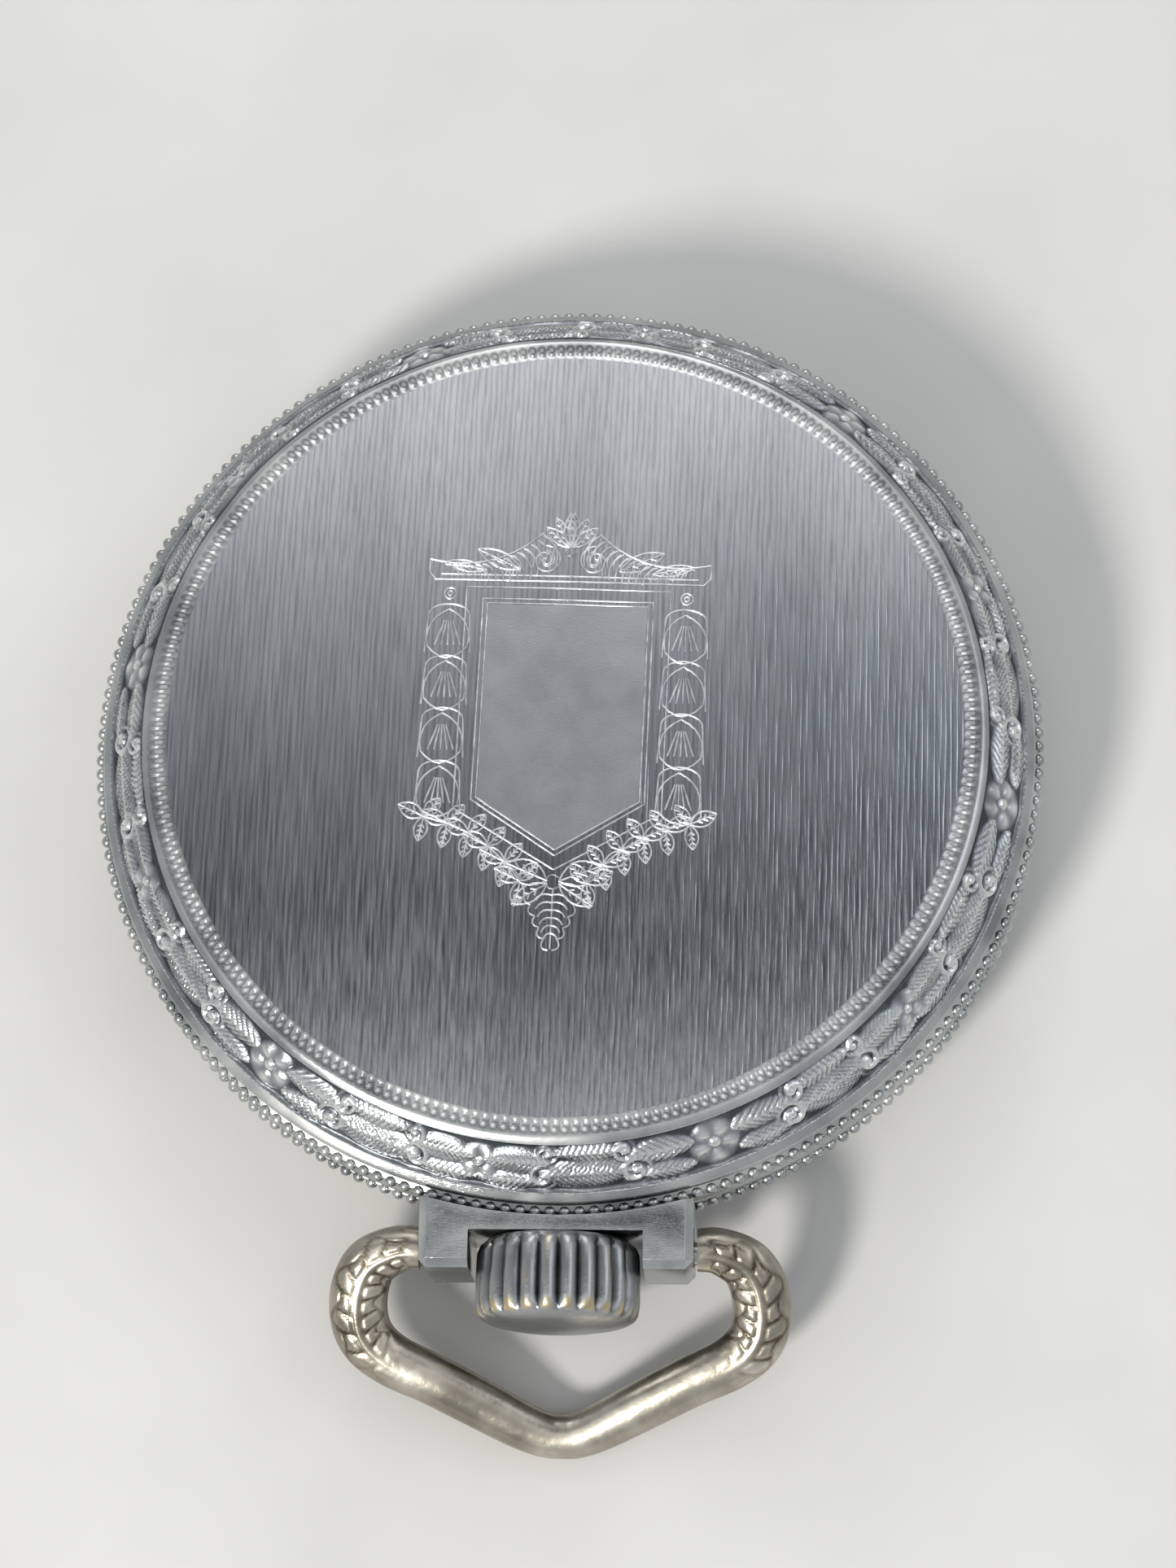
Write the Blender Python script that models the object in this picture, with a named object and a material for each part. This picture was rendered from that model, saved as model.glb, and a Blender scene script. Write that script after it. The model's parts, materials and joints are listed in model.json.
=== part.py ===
"""Fob watch, open face, screw back and bezel, stem wound: every piece as its own solid.

+Z points out of the back cover, the crown and pendant point along -Y, and the origin is
the middle of the crystal's flat outer face. Lengths are in millimetres until finish().
"""

from math import atan2, cos, degrees, pi, radians, sin, sqrt

import bmesh
import bpy
from mathutils import Matrix, Vector

MM = 0.001
WELD = 0.0005

# Movement, in plan. The plan is drawn for LAYOUT_RADIUS and grows with the plate.
PLATE_RADIUS = 21.3
LAYOUT_RADIUS = 21.3
GROWTH = PLATE_RADIUS / LAYOUT_RADIUS

# Heights, stacked from the crystal's outer face towards the back.
CRYSTAL_THICKNESS = 1.2
HAND_THICKNESS = 0.15
HAND_SPACE = 0.3
DIAL_THICKNESS = 0.5
MOTION_SPACE = 0.9
PLATE_THICKNESS = 1.4
BARREL_HEIGHT = 1.5
WHEEL_THICKNESS = 0.2
BRIDGE_THICKNESS = 0.8
WINDING_WHEEL_THICKNESS = 0.4
BALANCE_RIM_HEIGHT = 0.65
HAIRSPRING_HEIGHT = 0.2
COCK_THICKNESS = 0.8
REGULATOR_THICKNESS = 0.15

MINUTE_HAND_LOW = CRYSTAL_THICKNESS + HAND_SPACE
HOUR_HAND_LOW = MINUTE_HAND_LOW + HAND_THICKNESS + HAND_SPACE
SECONDS_HAND_LOW = HOUR_HAND_LOW + HAND_THICKNESS + HAND_SPACE
DIAL_LOW = SECONDS_HAND_LOW + HAND_THICKNESS + 0.2
DIAL_HIGH = DIAL_LOW + DIAL_THICKNESS
PLATE_LOW = DIAL_HIGH + MOTION_SPACE
PLATE_HIGH = PLATE_LOW + PLATE_THICKNESS
BARREL_LOW = PLATE_HIGH + 0.15
BARREL_HIGH = BARREL_LOW + BARREL_HEIGHT
CENTRE_WHEEL_LOW = BARREL_HIGH + 0.1
CENTRE_WHEEL_HIGH = CENTRE_WHEEL_LOW + WHEEL_THICKNESS
THIRD_WHEEL_LOW = CENTRE_WHEEL_HIGH + 0.12
THIRD_WHEEL_HIGH = THIRD_WHEEL_LOW + WHEEL_THICKNESS
BRIDGE_LOW = THIRD_WHEEL_HIGH + 0.13
BRIDGE_HIGH = BRIDGE_LOW + BRIDGE_THICKNESS
WINDING_WHEEL_LOW = BRIDGE_HIGH + 0.1
WINDING_WHEEL_HIGH = WINDING_WHEEL_LOW + WINDING_WHEEL_THICKNESS
ESCAPE_WHEEL_LOW = PLATE_HIGH + 1.15
ESCAPE_WHEEL_HIGH = ESCAPE_WHEEL_LOW + WHEEL_THICKNESS
FOURTH_WHEEL_LOW = PLATE_HIGH + 0.45
BALANCE_LOW = CENTRE_WHEEL_HIGH + 0.55
BALANCE_HIGH = BALANCE_LOW + BALANCE_RIM_HEIGHT
HAIRSPRING_LOW = BALANCE_HIGH + 0.25
HAIRSPRING_HIGH = HAIRSPRING_LOW + HAIRSPRING_HEIGHT
COCK_LOW = HAIRSPRING_HIGH + 0.25
COCK_HIGH = COCK_LOW + COCK_THICKNESS
REGULATOR_LOW = COCK_HIGH + 0.07
REGULATOR_HIGH = REGULATOR_LOW + REGULATOR_THICKNESS
STEM_Z = PLATE_HIGH + 0.85

# Case. Radii follow the plate, heights follow the stem.
MOVEMENT_GAP = 0.2
SPIGOT_WALL = 1.4
SCREW_GAP = 0.1
CASE_WALL = 2.1
BAND_HEIGHT = 2.6
LIP_WIDTH = 0.9
JOINT_GAP = 0.1
BACK_WALL = 0.7
BACK_SLOPE_HEIGHT = 2.2
BACK_SLOPE_WIDTH = 2.1
BACK_DOME_RISE = 0.85
BEZEL_LIP = 0.9

BAND_INNER = PLATE_RADIUS + MOVEMENT_GAP
LIP_INNER = BAND_INNER - LIP_WIDTH
SPIGOT_OUTER = BAND_INNER + SPIGOT_WALL
COVER_INNER = SPIGOT_OUTER + SCREW_GAP
CASE_RADIUS = SPIGOT_OUTER + CASE_WALL
BAND_LOW = STEM_Z - 1.35
BAND_HIGH = BAND_LOW + BAND_HEIGHT
BACK_LOW = BAND_HIGH + JOINT_GAP
BEZEL_HIGH = BAND_LOW - JOINT_GAP
DIAL_RADIUS = PLATE_RADIUS - 0.1
DIAL_VIEW = BAND_INNER - BEZEL_LIP - MOVEMENT_GAP
CRYSTAL_RADIUS = DIAL_VIEW + 0.6
CRYSTAL_FLAT = CRYSTAL_RADIUS - 3.0

# Pendant, sleeve, stem, crown and bow.
PENDANT_WIDTH = 14.0
PENDANT_HEIGHT = 5.6
PENDANT_DEPTH = 2.65
PENDANT_CHAMFER = 0.42
PENDANT_NECK_WIDTH = 6.4
PENDANT_GAP = 0.25
WEB_THICKNESS = 0.75
STEM_RADIUS = 0.5
STEM_CLEARANCE = 0.12
SLEEVE_WALL = 0.3
CROWN_RADIUS = 4.25
CROWN_LENGTH = 4.15
CROWN_DOME = 0.55
CROWN_FLUTES = 24
CROWN_FLUTE_DEPTH = 0.32
CROWN_CLEARANCE = 0.2
CROWN_PULL = 0.5
BOW_DROOP = radians(31.3)
BOW_LENGTH = 10.17
BOW_HALF_SPAN = 10.42
BOW_HALF_THICKNESS = 1.08
BOW_PIN_RADIUS = 0.6
BOW_PIN_REACH = 1.4
BOW_PIN_CLEARANCE = 0.15
BOW_SIDE_GAP = 0.15

PENDANT_INNER = CASE_RADIUS + PENDANT_GAP + 0.1
PENDANT_OUTER = PENDANT_INNER + PENDANT_DEPTH
SADDLE_Y = -(PENDANT_INNER + WEB_THICKNESS)
CROWN_INNER_Y = SADDLE_Y - 0.1
CROWN_OUTER_Y = CROWN_INNER_Y - CROWN_LENGTH
SLEEVE_BORE = STEM_RADIUS + STEM_CLEARANCE
SLEEVE_RADIUS = SLEEVE_BORE + SLEEVE_WALL
BOW_PIVOT = Vector((0, -(PENDANT_INNER + 0.55 * PENDANT_DEPTH), STEM_Z))
BOW_END_X = PENDANT_WIDTH / 2 + BOW_SIDE_GAP

# Fasteners and pivots.
SEAT = 0.03
PIVOT_RADIUS = 0.12
PIVOT_HOLE = 0.2
ARBOR_RADIUS = 0.3
SCREW_SHANK = 0.38
SCREW_HOLE = 0.5
SCREW_HEAD = 0.9
SCREW_HEAD_HEIGHT = 0.35
SLOT_WIDTH = 0.22
JEWEL_RADIUS = 0.7
FOOT_RADIUS = 1.3

# Tooth counts.
BARREL_TEETH = 72
CENTRE_LEAVES = 12
CENTRE_TEETH = 64
THIRD_LEAVES = 8
THIRD_TEETH = 60
FOURTH_LEAVES = 8
FOURTH_TEETH = 70
ESCAPE_LEAVES = 7
ESCAPE_TEETH = 15
CANNON_LEAVES = 12
MINUTE_TEETH = 36
MINUTE_LEAVES = 10
HOUR_TEETH = 40
SETTING_TEETH = 40
CROWN_WHEEL_TEETH = 24
RATCHET_TEETH = 36
PINION_TEETH = 14

# Time shown by the hands at rest, in degrees clockwise from twelve on the dial.
MINUTE_ANGLE = 54.0
HOUR_ANGLE = 304.5
SECONDS_ANGLE = 210.0


def plan(x, y):
    """A place in the movement's plan, grown with the plate."""
    return Vector((x * GROWTH, y * GROWTH))


CENTRE_AT = plan(0, 0)
BARREL_AT = plan(-8.3, -5.72)
THIRD_AT = plan(-6.46, 5.73)
FOURTH_AT = plan(0, 9.5)
ESCAPE_AT = plan(6.3, 5.78)
BALANCE_AT = plan(11.9, -1.6)
CROWN_WHEEL_AT = plan(0, -13.0)
MINUTE_WHEEL_AT = plan(0, -3.84)
SETTING_WHEEL_AT = plan(0, -9.92)
LINE_OF_FORK = (BALANCE_AT - ESCAPE_AT).normalized()
ESCAPE_RADIUS = 3.55 * GROWTH
PALLET_AT = ESCAPE_AT + LINE_OF_FORK * (ESCAPE_RADIUS + 0.55)
BALANCE_RADIUS = 7.4 * GROWTH
BRIDGE_RADIUS = LIP_INNER - 0.4
CASE_SCREW_AT = [(LIP_INNER - 0.65, 48), (LIP_INNER - 0.65, 155)]


# ---------------------------------------------------------------- shapes


def circle(radius, steps, centre=(0, 0), turn=0.0):
    """The corners of a regular polygon, in plan."""
    angles = [turn + 2 * pi * i / steps for i in range(steps)]
    return [(centre[0] + radius * cos(a), centre[1] + radius * sin(a)) for a in angles]


def arc(radius, start, end, steps, centre=(0, 0)):
    """Points along an arc from start to end, in degrees, both ends included."""
    angles = [radians(start + (end - start) * i / steps) for i in range(steps + 1)]
    return [(centre[0] + radius * cos(a), centre[1] + radius * sin(a)) for a in angles]


def capsule(a, b, radius_a, radius_b, steps=6):
    """A bar with two round ends, in plan."""
    along = degrees(atan2(b[1] - a[1], b[0] - a[0]))
    return arc(radius_b, along - 90, along + 90, steps, b) + arc(radius_a, along + 90, along + 270, steps, a)


def slab(outlines, low, high):
    """A flat plate between two heights: the first outline is its edge, the rest are holes."""
    bm = bmesh.new()
    for outline in outlines:
        corners = [bm.verts.new((x, y, low)) for x, y in outline]
        for i, corner in enumerate(corners):
            bm.edges.new((corner, corners[(i + 1) % len(corners)]))
    bmesh.ops.triangle_fill(bm, use_beauty=True, edges=bm.edges[:])
    grown = bmesh.ops.extrude_face_region(bm, geom=bm.faces[:])
    top = [g for g in grown["geom"] if isinstance(g, bmesh.types.BMVert)]
    bmesh.ops.translate(bm, verts=top, vec=(0, 0, high - low))
    bmesh.ops.recalc_face_normals(bm, faces=bm.faces[:])
    return bm


def turned(profile, steps, centre=(0, 0)):
    """A turned piece on a vertical axis. A profile that starts and ends on the axis is solid."""
    bm = bmesh.new()
    corners = [bm.verts.new((radius, 0, height)) for radius, height in profile]
    for lower, upper in zip(corners, corners[1:]):
        bm.edges.new((lower, upper))
    if profile[0][0] > 0:
        bm.edges.new((corners[-1], corners[0]))
    geometry = bm.verts[:] + bm.edges[:]
    bmesh.ops.spin(bm, geom=geometry, axis=(0, 0, 1), cent=(0, 0, 0), angle=2 * pi, steps=steps, use_merge=True)
    bmesh.ops.remove_doubles(bm, verts=bm.verts[:], dist=WELD)
    bmesh.ops.recalc_face_normals(bm, faces=bm.faces[:])
    bmesh.ops.translate(bm, verts=bm.verts[:], vec=(centre[0], centre[1], 0))
    return bm


def rod(radius, low, high, steps, centre=(0, 0)):
    """A plain vertical cylinder."""
    return turned([(0, low), (radius, low), (radius, high), (0, high)], steps, centre)


def loft(rings, closed=False):
    """A skin over rings with the same number of corners, capped unless it closes on itself."""
    bm = bmesh.new()
    loops = [[bm.verts.new(point) for point in ring] for ring in rings]
    pairs = list(zip(loops, loops[1:]))
    if closed:
        pairs.append((loops[-1], loops[0]))
    for first, second in pairs:
        for i in range(len(first)):
            j = (i + 1) % len(first)
            bm.faces.new((first[i], first[j], second[j], second[i]))
    if not closed:
        bm.faces.new(loops[0][::-1])
        bm.faces.new(loops[-1])
    bmesh.ops.triangulate(bm, faces=[f for f in bm.faces if len(f.verts) > 4])
    bmesh.ops.recalc_face_normals(bm, faces=bm.faces[:])
    return bm


def box(low, high):
    """A block between two corners."""
    bm = bmesh.new()
    bmesh.ops.create_cube(bm, size=1)
    size = Vector(high) - Vector(low)
    bmesh.ops.scale(bm, verts=bm.verts[:], vec=size)
    bmesh.ops.translate(bm, verts=bm.verts[:], vec=Vector(low) + size / 2)
    return bm


def lay_along_stem(bm):
    """Turn a piece drawn on a vertical axis so that its height runs along +Y on the stem's axis."""
    bmesh.ops.rotate(bm, verts=bm.verts[:], cent=(0, 0, 0), matrix=Matrix.Rotation(-pi / 2, 3, "X"))
    bmesh.ops.translate(bm, verts=bm.verts[:], vec=(0, 0, STEM_Z))
    return bm


def lay_along_x(bm, centre):
    """Turn a piece drawn on a vertical axis so that its height runs along +X through centre."""
    bmesh.ops.rotate(bm, verts=bm.verts[:], cent=(0, 0, 0), matrix=Matrix.Rotation(pi / 2, 3, "Y"))
    bmesh.ops.translate(bm, verts=bm.verts[:], vec=centre)
    return bm


def helper(bm):
    """A short-lived object that holds a shape for a Boolean."""
    mesh = bpy.data.meshes.new("helper")
    bm.to_mesh(mesh)
    bm.free()
    obj = bpy.data.objects.new("helper", mesh)
    bpy.context.scene.collection.objects.link(obj)
    return obj


def combine(base, tools, operation):
    """The base joined with, or cut by, the tools."""
    body = helper(base)
    others = [helper(tool) for tool in tools]
    for other in others:
        modifier = body.modifiers.new("combine", "BOOLEAN")
        modifier.operation = operation
        modifier.solver = "EXACT"
        modifier.object = other
    graph = bpy.context.evaluated_depsgraph_get()
    mesh = bpy.data.meshes.new_from_object(body.evaluated_get(graph))
    result = bmesh.new()
    result.from_mesh(mesh)
    bpy.data.meshes.remove(mesh)
    for obj in [body] + others:
        old = obj.data
        bpy.data.objects.remove(obj)
        bpy.data.meshes.remove(old)
    return result


def joined(base, *tools):
    return combine(base, tools, "UNION")


def cut(base, *tools):
    return combine(base, tools, "DIFFERENCE")


def linear(hex_colour):
    """An sRGB hex colour as linear values."""
    parts = [int(hex_colour[i : i + 2], 16) / 255 for i in (1, 3, 5)]
    return [c / 12.92 if c <= 0.04045 else ((c + 0.055) / 1.055) ** 2.4 for c in parts] + [1.0]


MATERIALS = {
    "case_nickel": ("#b9bcbe", 0.25, 1.0, 1.0),
    "bow_nickel": ("#a99f90", 0.3, 1.0, 1.0),
    "crown_nickel": ("#8f9294", 0.35, 1.0, 1.0),
    "crystal_glass": ("#eef4f4", 0.05, 0.0, 0.25),
    "dial_enamel": ("#f4f2ea", 0.2, 0.0, 1.0),
    "blued_steel": ("#1e2a58", 0.2, 1.0, 1.0),
    "plate_nickel": ("#c9c8c3", 0.35, 1.0, 1.0),
    "gilt_brass": ("#c9a24e", 0.3, 1.0, 1.0),
    "polished_steel": ("#a8abae", 0.15, 1.0, 1.0),
    "jewel_ruby": ("#9c1838", 0.1, 0.0, 1.0),
}


def material(slot):
    """The named material, made once."""
    if slot in bpy.data.materials:
        return bpy.data.materials[slot]
    colour, roughness, metallic, alpha = MATERIALS[slot]
    made = bpy.data.materials.new(slot)
    made.use_nodes = True
    shader = made.node_tree.nodes["Principled BSDF"]
    shader.inputs["Base Color"].default_value = linear(colour)
    shader.inputs["Roughness"].default_value = roughness
    shader.inputs["Metallic"].default_value = metallic
    shader.inputs["Alpha"].default_value = alpha
    made.diffuse_color = linear(colour)
    return made


def finish(name, bm, slot, origin=(0, 0, 0)):
    """Scale a shape to metres about its own origin, and add it to the scene."""
    origin = Vector((*origin, 0)[:3])
    bmesh.ops.remove_doubles(bm, verts=bm.verts[:], dist=WELD)
    bmesh.ops.translate(bm, verts=bm.verts[:], vec=-origin)
    bmesh.ops.scale(bm, verts=bm.verts[:], vec=(MM, MM, MM))
    mesh = bpy.data.meshes.new(name)
    bm.to_mesh(mesh)
    bm.free()
    mesh.materials.append(material(slot))
    mesh.shade_smooth()
    mesh.set_sharp_from_angle(angle=radians(35))
    obj = bpy.data.objects.new(name, mesh)
    obj.location = origin * MM
    bpy.context.scene.collection.objects.link(obj)
    return obj


# ---------------------------------------------------------------- gears


def module_of(centre_a, centre_b, teeth_a, teeth_b):
    """The tooth module that makes two gears meet at their centre distance."""
    return 2 * (centre_b - centre_a).length / (teeth_a + teeth_b)


def phase_to_mesh(centre_a, teeth_a, phase_a, centre_b, teeth_b):
    """The angle of a tooth of b that falls in a gap of a, where a has a tooth at phase_a."""
    to_b = centre_b - centre_a
    bearing = atan2(to_b.y, to_b.x)
    pitch = 2 * pi / teeth_a
    gaps = round((bearing - phase_a) / pitch - 0.5)
    gap = phase_a + (gaps + 0.5) * pitch
    return bearing + pi - (gap - bearing) * teeth_a / teeth_b


def wheel_outline(centre, teeth, module, phase, tip_share=0.12, tip_height=0.8):
    """A wheel's teeth, each with a narrow tip and a V-shaped gap beside it."""
    tip = module * (teeth / 2 + tip_height)
    root = module * (teeth / 2 - 1.35)
    pitch = 2 * pi / teeth
    points = []
    for i in range(teeth):
        middle = phase + i * pitch
        for radius, share in ((tip, -tip_share), (tip, tip_share), (root, 0.5)):
            angle = middle + share * pitch
            points.append((centre[0] + radius * cos(angle), centre[1] + radius * sin(angle)))
    return points


def pinion_outline(centre, teeth, module, phase):
    """A pinion's leaves: narrow, with a pointed-arch tip."""
    tip = module * (teeth / 2 + 0.75)
    pitch_radius = module * (teeth / 2 + 0.1)
    root = module * (teeth / 2 - 1.3)
    pitch = 2 * pi / teeth
    points = []
    for i in range(teeth):
        middle = phase + i * pitch
        flank = ((root, -0.26), (pitch_radius, -0.15), (tip, 0.0), (pitch_radius, 0.15), (root, 0.26))
        for radius, share in flank:
            angle = middle + share * pitch
            points.append((centre[0] + radius * cos(angle), centre[1] + radius * sin(angle)))
    return points


def crossings(centre, inner, outer, count, arm):
    """The openings between a wheel's arms, each a sector with straight sides."""
    openings = []
    for i in range(count):
        start = 360 * i / count
        end = start + 360 / count
        far = degrees(arm / 2 / outer)
        near = degrees(arm / 2 / inner)
        outside = arc(outer, start + far, end - far, max(3, 18 // count), centre)
        inside = arc(inner, end - near, start + near, 2, centre)
        openings.append(outside + inside)
    return openings


def arbor(low, high, waist_low, waist_high, centre, radius=ARBOR_RADIUS):
    """A wheel's steel arbor with a fine pivot at each end."""
    profile = [(0, low), (PIVOT_RADIUS, low), (PIVOT_RADIUS, waist_low), (radius, waist_low)]
    profile += [(radius, waist_high), (PIVOT_RADIUS, waist_high), (PIVOT_RADIUS, high), (0, high)]
    return turned(profile, 10, centre)


# ---------------------------------------------------------------- case

CASE_STEPS = 48


def make_case_band():
    """The middle of the case, with a threaded spigot each side and the lip that holds the movement."""
    lip_low = PLATE_HIGH + JOINT_GAP
    lip_high = lip_low + 1.25
    foot = DIAL_HIGH + 0.05
    rise = BACK_LOW + 1.25
    waist = (BAND_LOW + BAND_HIGH) / 2
    profile = [
        (BAND_INNER, foot), (BAND_INNER, lip_low), (LIP_INNER, lip_low), (LIP_INNER, lip_high),
        (BAND_INNER, lip_high), (BAND_INNER, rise), (SPIGOT_OUTER, rise), (SPIGOT_OUTER, BAND_HIGH),
        (CASE_RADIUS - 0.15, BAND_HIGH), (CASE_RADIUS - 0.05, BAND_HIGH - 0.35), (CASE_RADIUS - 0.3, waist),
        (CASE_RADIUS - 0.05, BAND_LOW + 0.35), (CASE_RADIUS - 0.15, BAND_LOW), (SPIGOT_OUTER, BAND_LOW),
        (SPIGOT_OUTER, foot),
    ]
    ring = turned(profile, CASE_STEPS)
    stem_way = lay_along_stem(rod(SLEEVE_RADIUS + 0.08, -CASE_RADIUS - 1, -LIP_INNER + 1, 12))
    finish("case_band", cut(ring, stem_way), "case_nickel")


def make_back_cover():
    """The screw-on back: a bead rim, a plain ring, a sloping border and a low dome."""
    slope_low = BACK_LOW + 1.4
    slope_foot = CASE_RADIUS - 0.6
    slope_head = slope_foot - BACK_SLOPE_WIDTH
    slope_high = slope_low + BACK_SLOPE_HEIGHT
    ring = slope_head - 0.4
    dome_low = slope_high + 0.3
    dome = [(ring * s, dome_low + BACK_DOME_RISE * (1 - s * s)) for s in (0.7, 0.35)]
    shell = [
        (COVER_INNER, BACK_LOW), (CASE_RADIUS - 0.15, BACK_LOW), (CASE_RADIUS + 0.1, BACK_LOW + 0.2),
        (CASE_RADIUS + 0.1, BACK_LOW + 0.4), (CASE_RADIUS - 0.2, BACK_LOW + 0.6),
        (CASE_RADIUS - 0.25, BACK_LOW + 1.0), (slope_foot, slope_low),
        (slope_head, slope_high), (ring, dome_low),
    ]
    crown = [(0, dome_low + BACK_DOME_RISE)]
    inside = [(0, crown[0][1] - BACK_WALL)] + [(r, z - BACK_WALL) for r, z in reversed(dome)]
    inside += [(ring - 0.35, dome_low - BACK_WALL), (COVER_INNER, slope_low + 0.2)]
    bm = bmesh.new()
    outline = shell + dome + crown
    corners = [bm.verts.new((r, 0, z)) for r, z in outline]
    inner_corners = [bm.verts.new((r, 0, z)) for r, z in inside]
    for chain in (corners, inner_corners):
        for first, second in zip(chain, chain[1:]):
            bm.edges.new((first, second))
    bm.edges.new((inner_corners[-1], corners[0]))
    geometry = bm.verts[:] + bm.edges[:]
    bmesh.ops.spin(
        bm, geom=geometry, axis=(0, 0, 1), cent=(0, 0, 0), angle=2 * pi, steps=CASE_STEPS, use_merge=True
    )
    bmesh.ops.remove_doubles(bm, verts=bm.verts[:], dist=WELD)
    bmesh.ops.recalc_face_normals(bm, faces=bm.faces[:])
    finish("back_cover", bm, "case_nickel")


def make_bezel():
    """The screw-on front ring that holds the crystal."""
    groove = CRYSTAL_RADIUS + 0.12
    seat = CRYSTAL_THICKNESS + 0.4
    skirt = DIAL_LOW - 0.15
    profile = [
        (groove, 0.5), (groove, seat), (DIAL_VIEW, seat), (DIAL_VIEW, skirt), (COVER_INNER, skirt),
        (COVER_INNER, BEZEL_HIGH), (CASE_RADIUS - 0.15, BEZEL_HIGH), (CASE_RADIUS + 0.1, BEZEL_HIGH - 0.2),
        (CASE_RADIUS + 0.1, BEZEL_HIGH - 0.4), (CASE_RADIUS - 0.3, BEZEL_HIGH - 0.75),
        (CASE_RADIUS - 0.9, 2.6), (CASE_RADIUS - 2.1, 1.2), (groove + 0.7, 0.5),
    ]
    finish("bezel", turned(profile, CASE_STEPS), "case_nickel")


def make_crystal():
    """The glass: flat in the middle, where the watch rests, with a rolled edge in the bezel's groove."""
    profile = [
        (0, 0), (CRYSTAL_FLAT, 0), (CRYSTAL_RADIUS - 1.0, 0.25), (CRYSTAL_RADIUS, 0.7),
        (CRYSTAL_RADIUS, CRYSTAL_THICKNESS + 0.3), (CRYSTAL_RADIUS - 1.4, CRYSTAL_THICKNESS + 0.3),
        (CRYSTAL_FLAT, CRYSTAL_THICKNESS), (0, CRYSTAL_THICKNESS),
    ]
    finish("crystal", turned(profile, CASE_STEPS), "crystal_glass")


def make_pendant():
    """The rectangular pendant: a neck on the band, a web, and two ears with the crown between them."""
    half = PENDANT_WIDTH / 2
    low = STEM_Z - PENDANT_HEIGHT / 2
    high = STEM_Z + PENDANT_HEIGHT / 2
    block = box((-half, -PENDANT_OUTER, low), (half, -PENDANT_INNER + 2.0, high))
    bmesh.ops.bevel(block, geom=block.edges[:], offset=PENDANT_CHAMFER, segments=1, affect="EDGES", profile=0.5)
    neck_low = BAND_LOW + 0.1
    neck_high = BAND_HIGH - 0.1
    neck_half = PENDANT_NECK_WIDTH / 2
    neck = box((-neck_half, SADDLE_Y + 0.2, neck_low), (neck_half, -CASE_RADIUS + 1.5, neck_high))
    clear_of_case = rod(PENDANT_INNER, low - 1, high + 1, CASE_STEPS * 2)
    clear_of_band = rod(CASE_RADIUS + 0.02, neck_low - 1, neck_high + 1, CASE_STEPS * 2)
    seat_width = CROWN_RADIUS + CROWN_CLEARANCE
    throat = box((-seat_width, -PENDANT_OUTER - 1, low - 1), (seat_width, SADDLE_Y, high + 1))
    body = cut(block, clear_of_case, throat)
    body = joined(body, cut(neck, clear_of_band))
    bore = lay_along_stem(rod(SLEEVE_RADIUS + 0.05, -PENDANT_OUTER - 1, -CASE_RADIUS + 2, 12))
    hole = rod(BOW_PIN_RADIUS + BOW_PIN_CLEARANCE, half - BOW_PIN_REACH - 0.1, half + 1, 12)
    right = lay_along_x(hole.copy(), BOW_PIVOT)
    left = lay_along_x(hole, BOW_PIVOT)
    bmesh.ops.scale(left, verts=left.verts[:], vec=(-1, 1, 1))
    bmesh.ops.reverse_faces(left, faces=left.faces[:])
    finish("pendant", cut(body, bore, right, left), "case_nickel")


def make_pendant_sleeve():
    """The steel sleeve inside the neck, which grips and guides the stem."""
    outer = SADDLE_Y + 0.15
    inner = -PLATE_RADIUS - 0.1
    profile = [(SLEEVE_BORE, outer), (SLEEVE_RADIUS, outer), (SLEEVE_RADIUS, inner), (SLEEVE_BORE, inner)]
    finish("pendant_sleeve", lay_along_stem(turned(profile, 12)), "polished_steel", (0, 0, STEM_Z))


def bow_path():
    """Half of the bow's centre line in its own plane: across, and away from the pivot."""
    span = BOW_HALF_SPAN
    return [
        (BOW_END_X, -0.2), (BOW_END_X + 1.1, -0.15), (span - 0.75, 0.6), (span - 0.08, 2.0), (span, 3.7),
        (span - 0.5, 5.0), (span - 1.7, 6.05), (span - 3.7, 7.05), (0.4 * span, BOW_LENGTH - 1.72),
        (0.2 * span, BOW_LENGTH - 0.57), (0.08 * span, BOW_LENGTH - 0.07), (0, BOW_LENGTH),
    ]


def bow_half_widths():
    """Half the bow's width at each point of bow_path: fullest at the shoulders."""
    return [1.15, 1.25, 1.4, 1.5, 1.52, 1.5, 1.42, 1.36, 1.32, 1.25, 1.2, 1.18]


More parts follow.
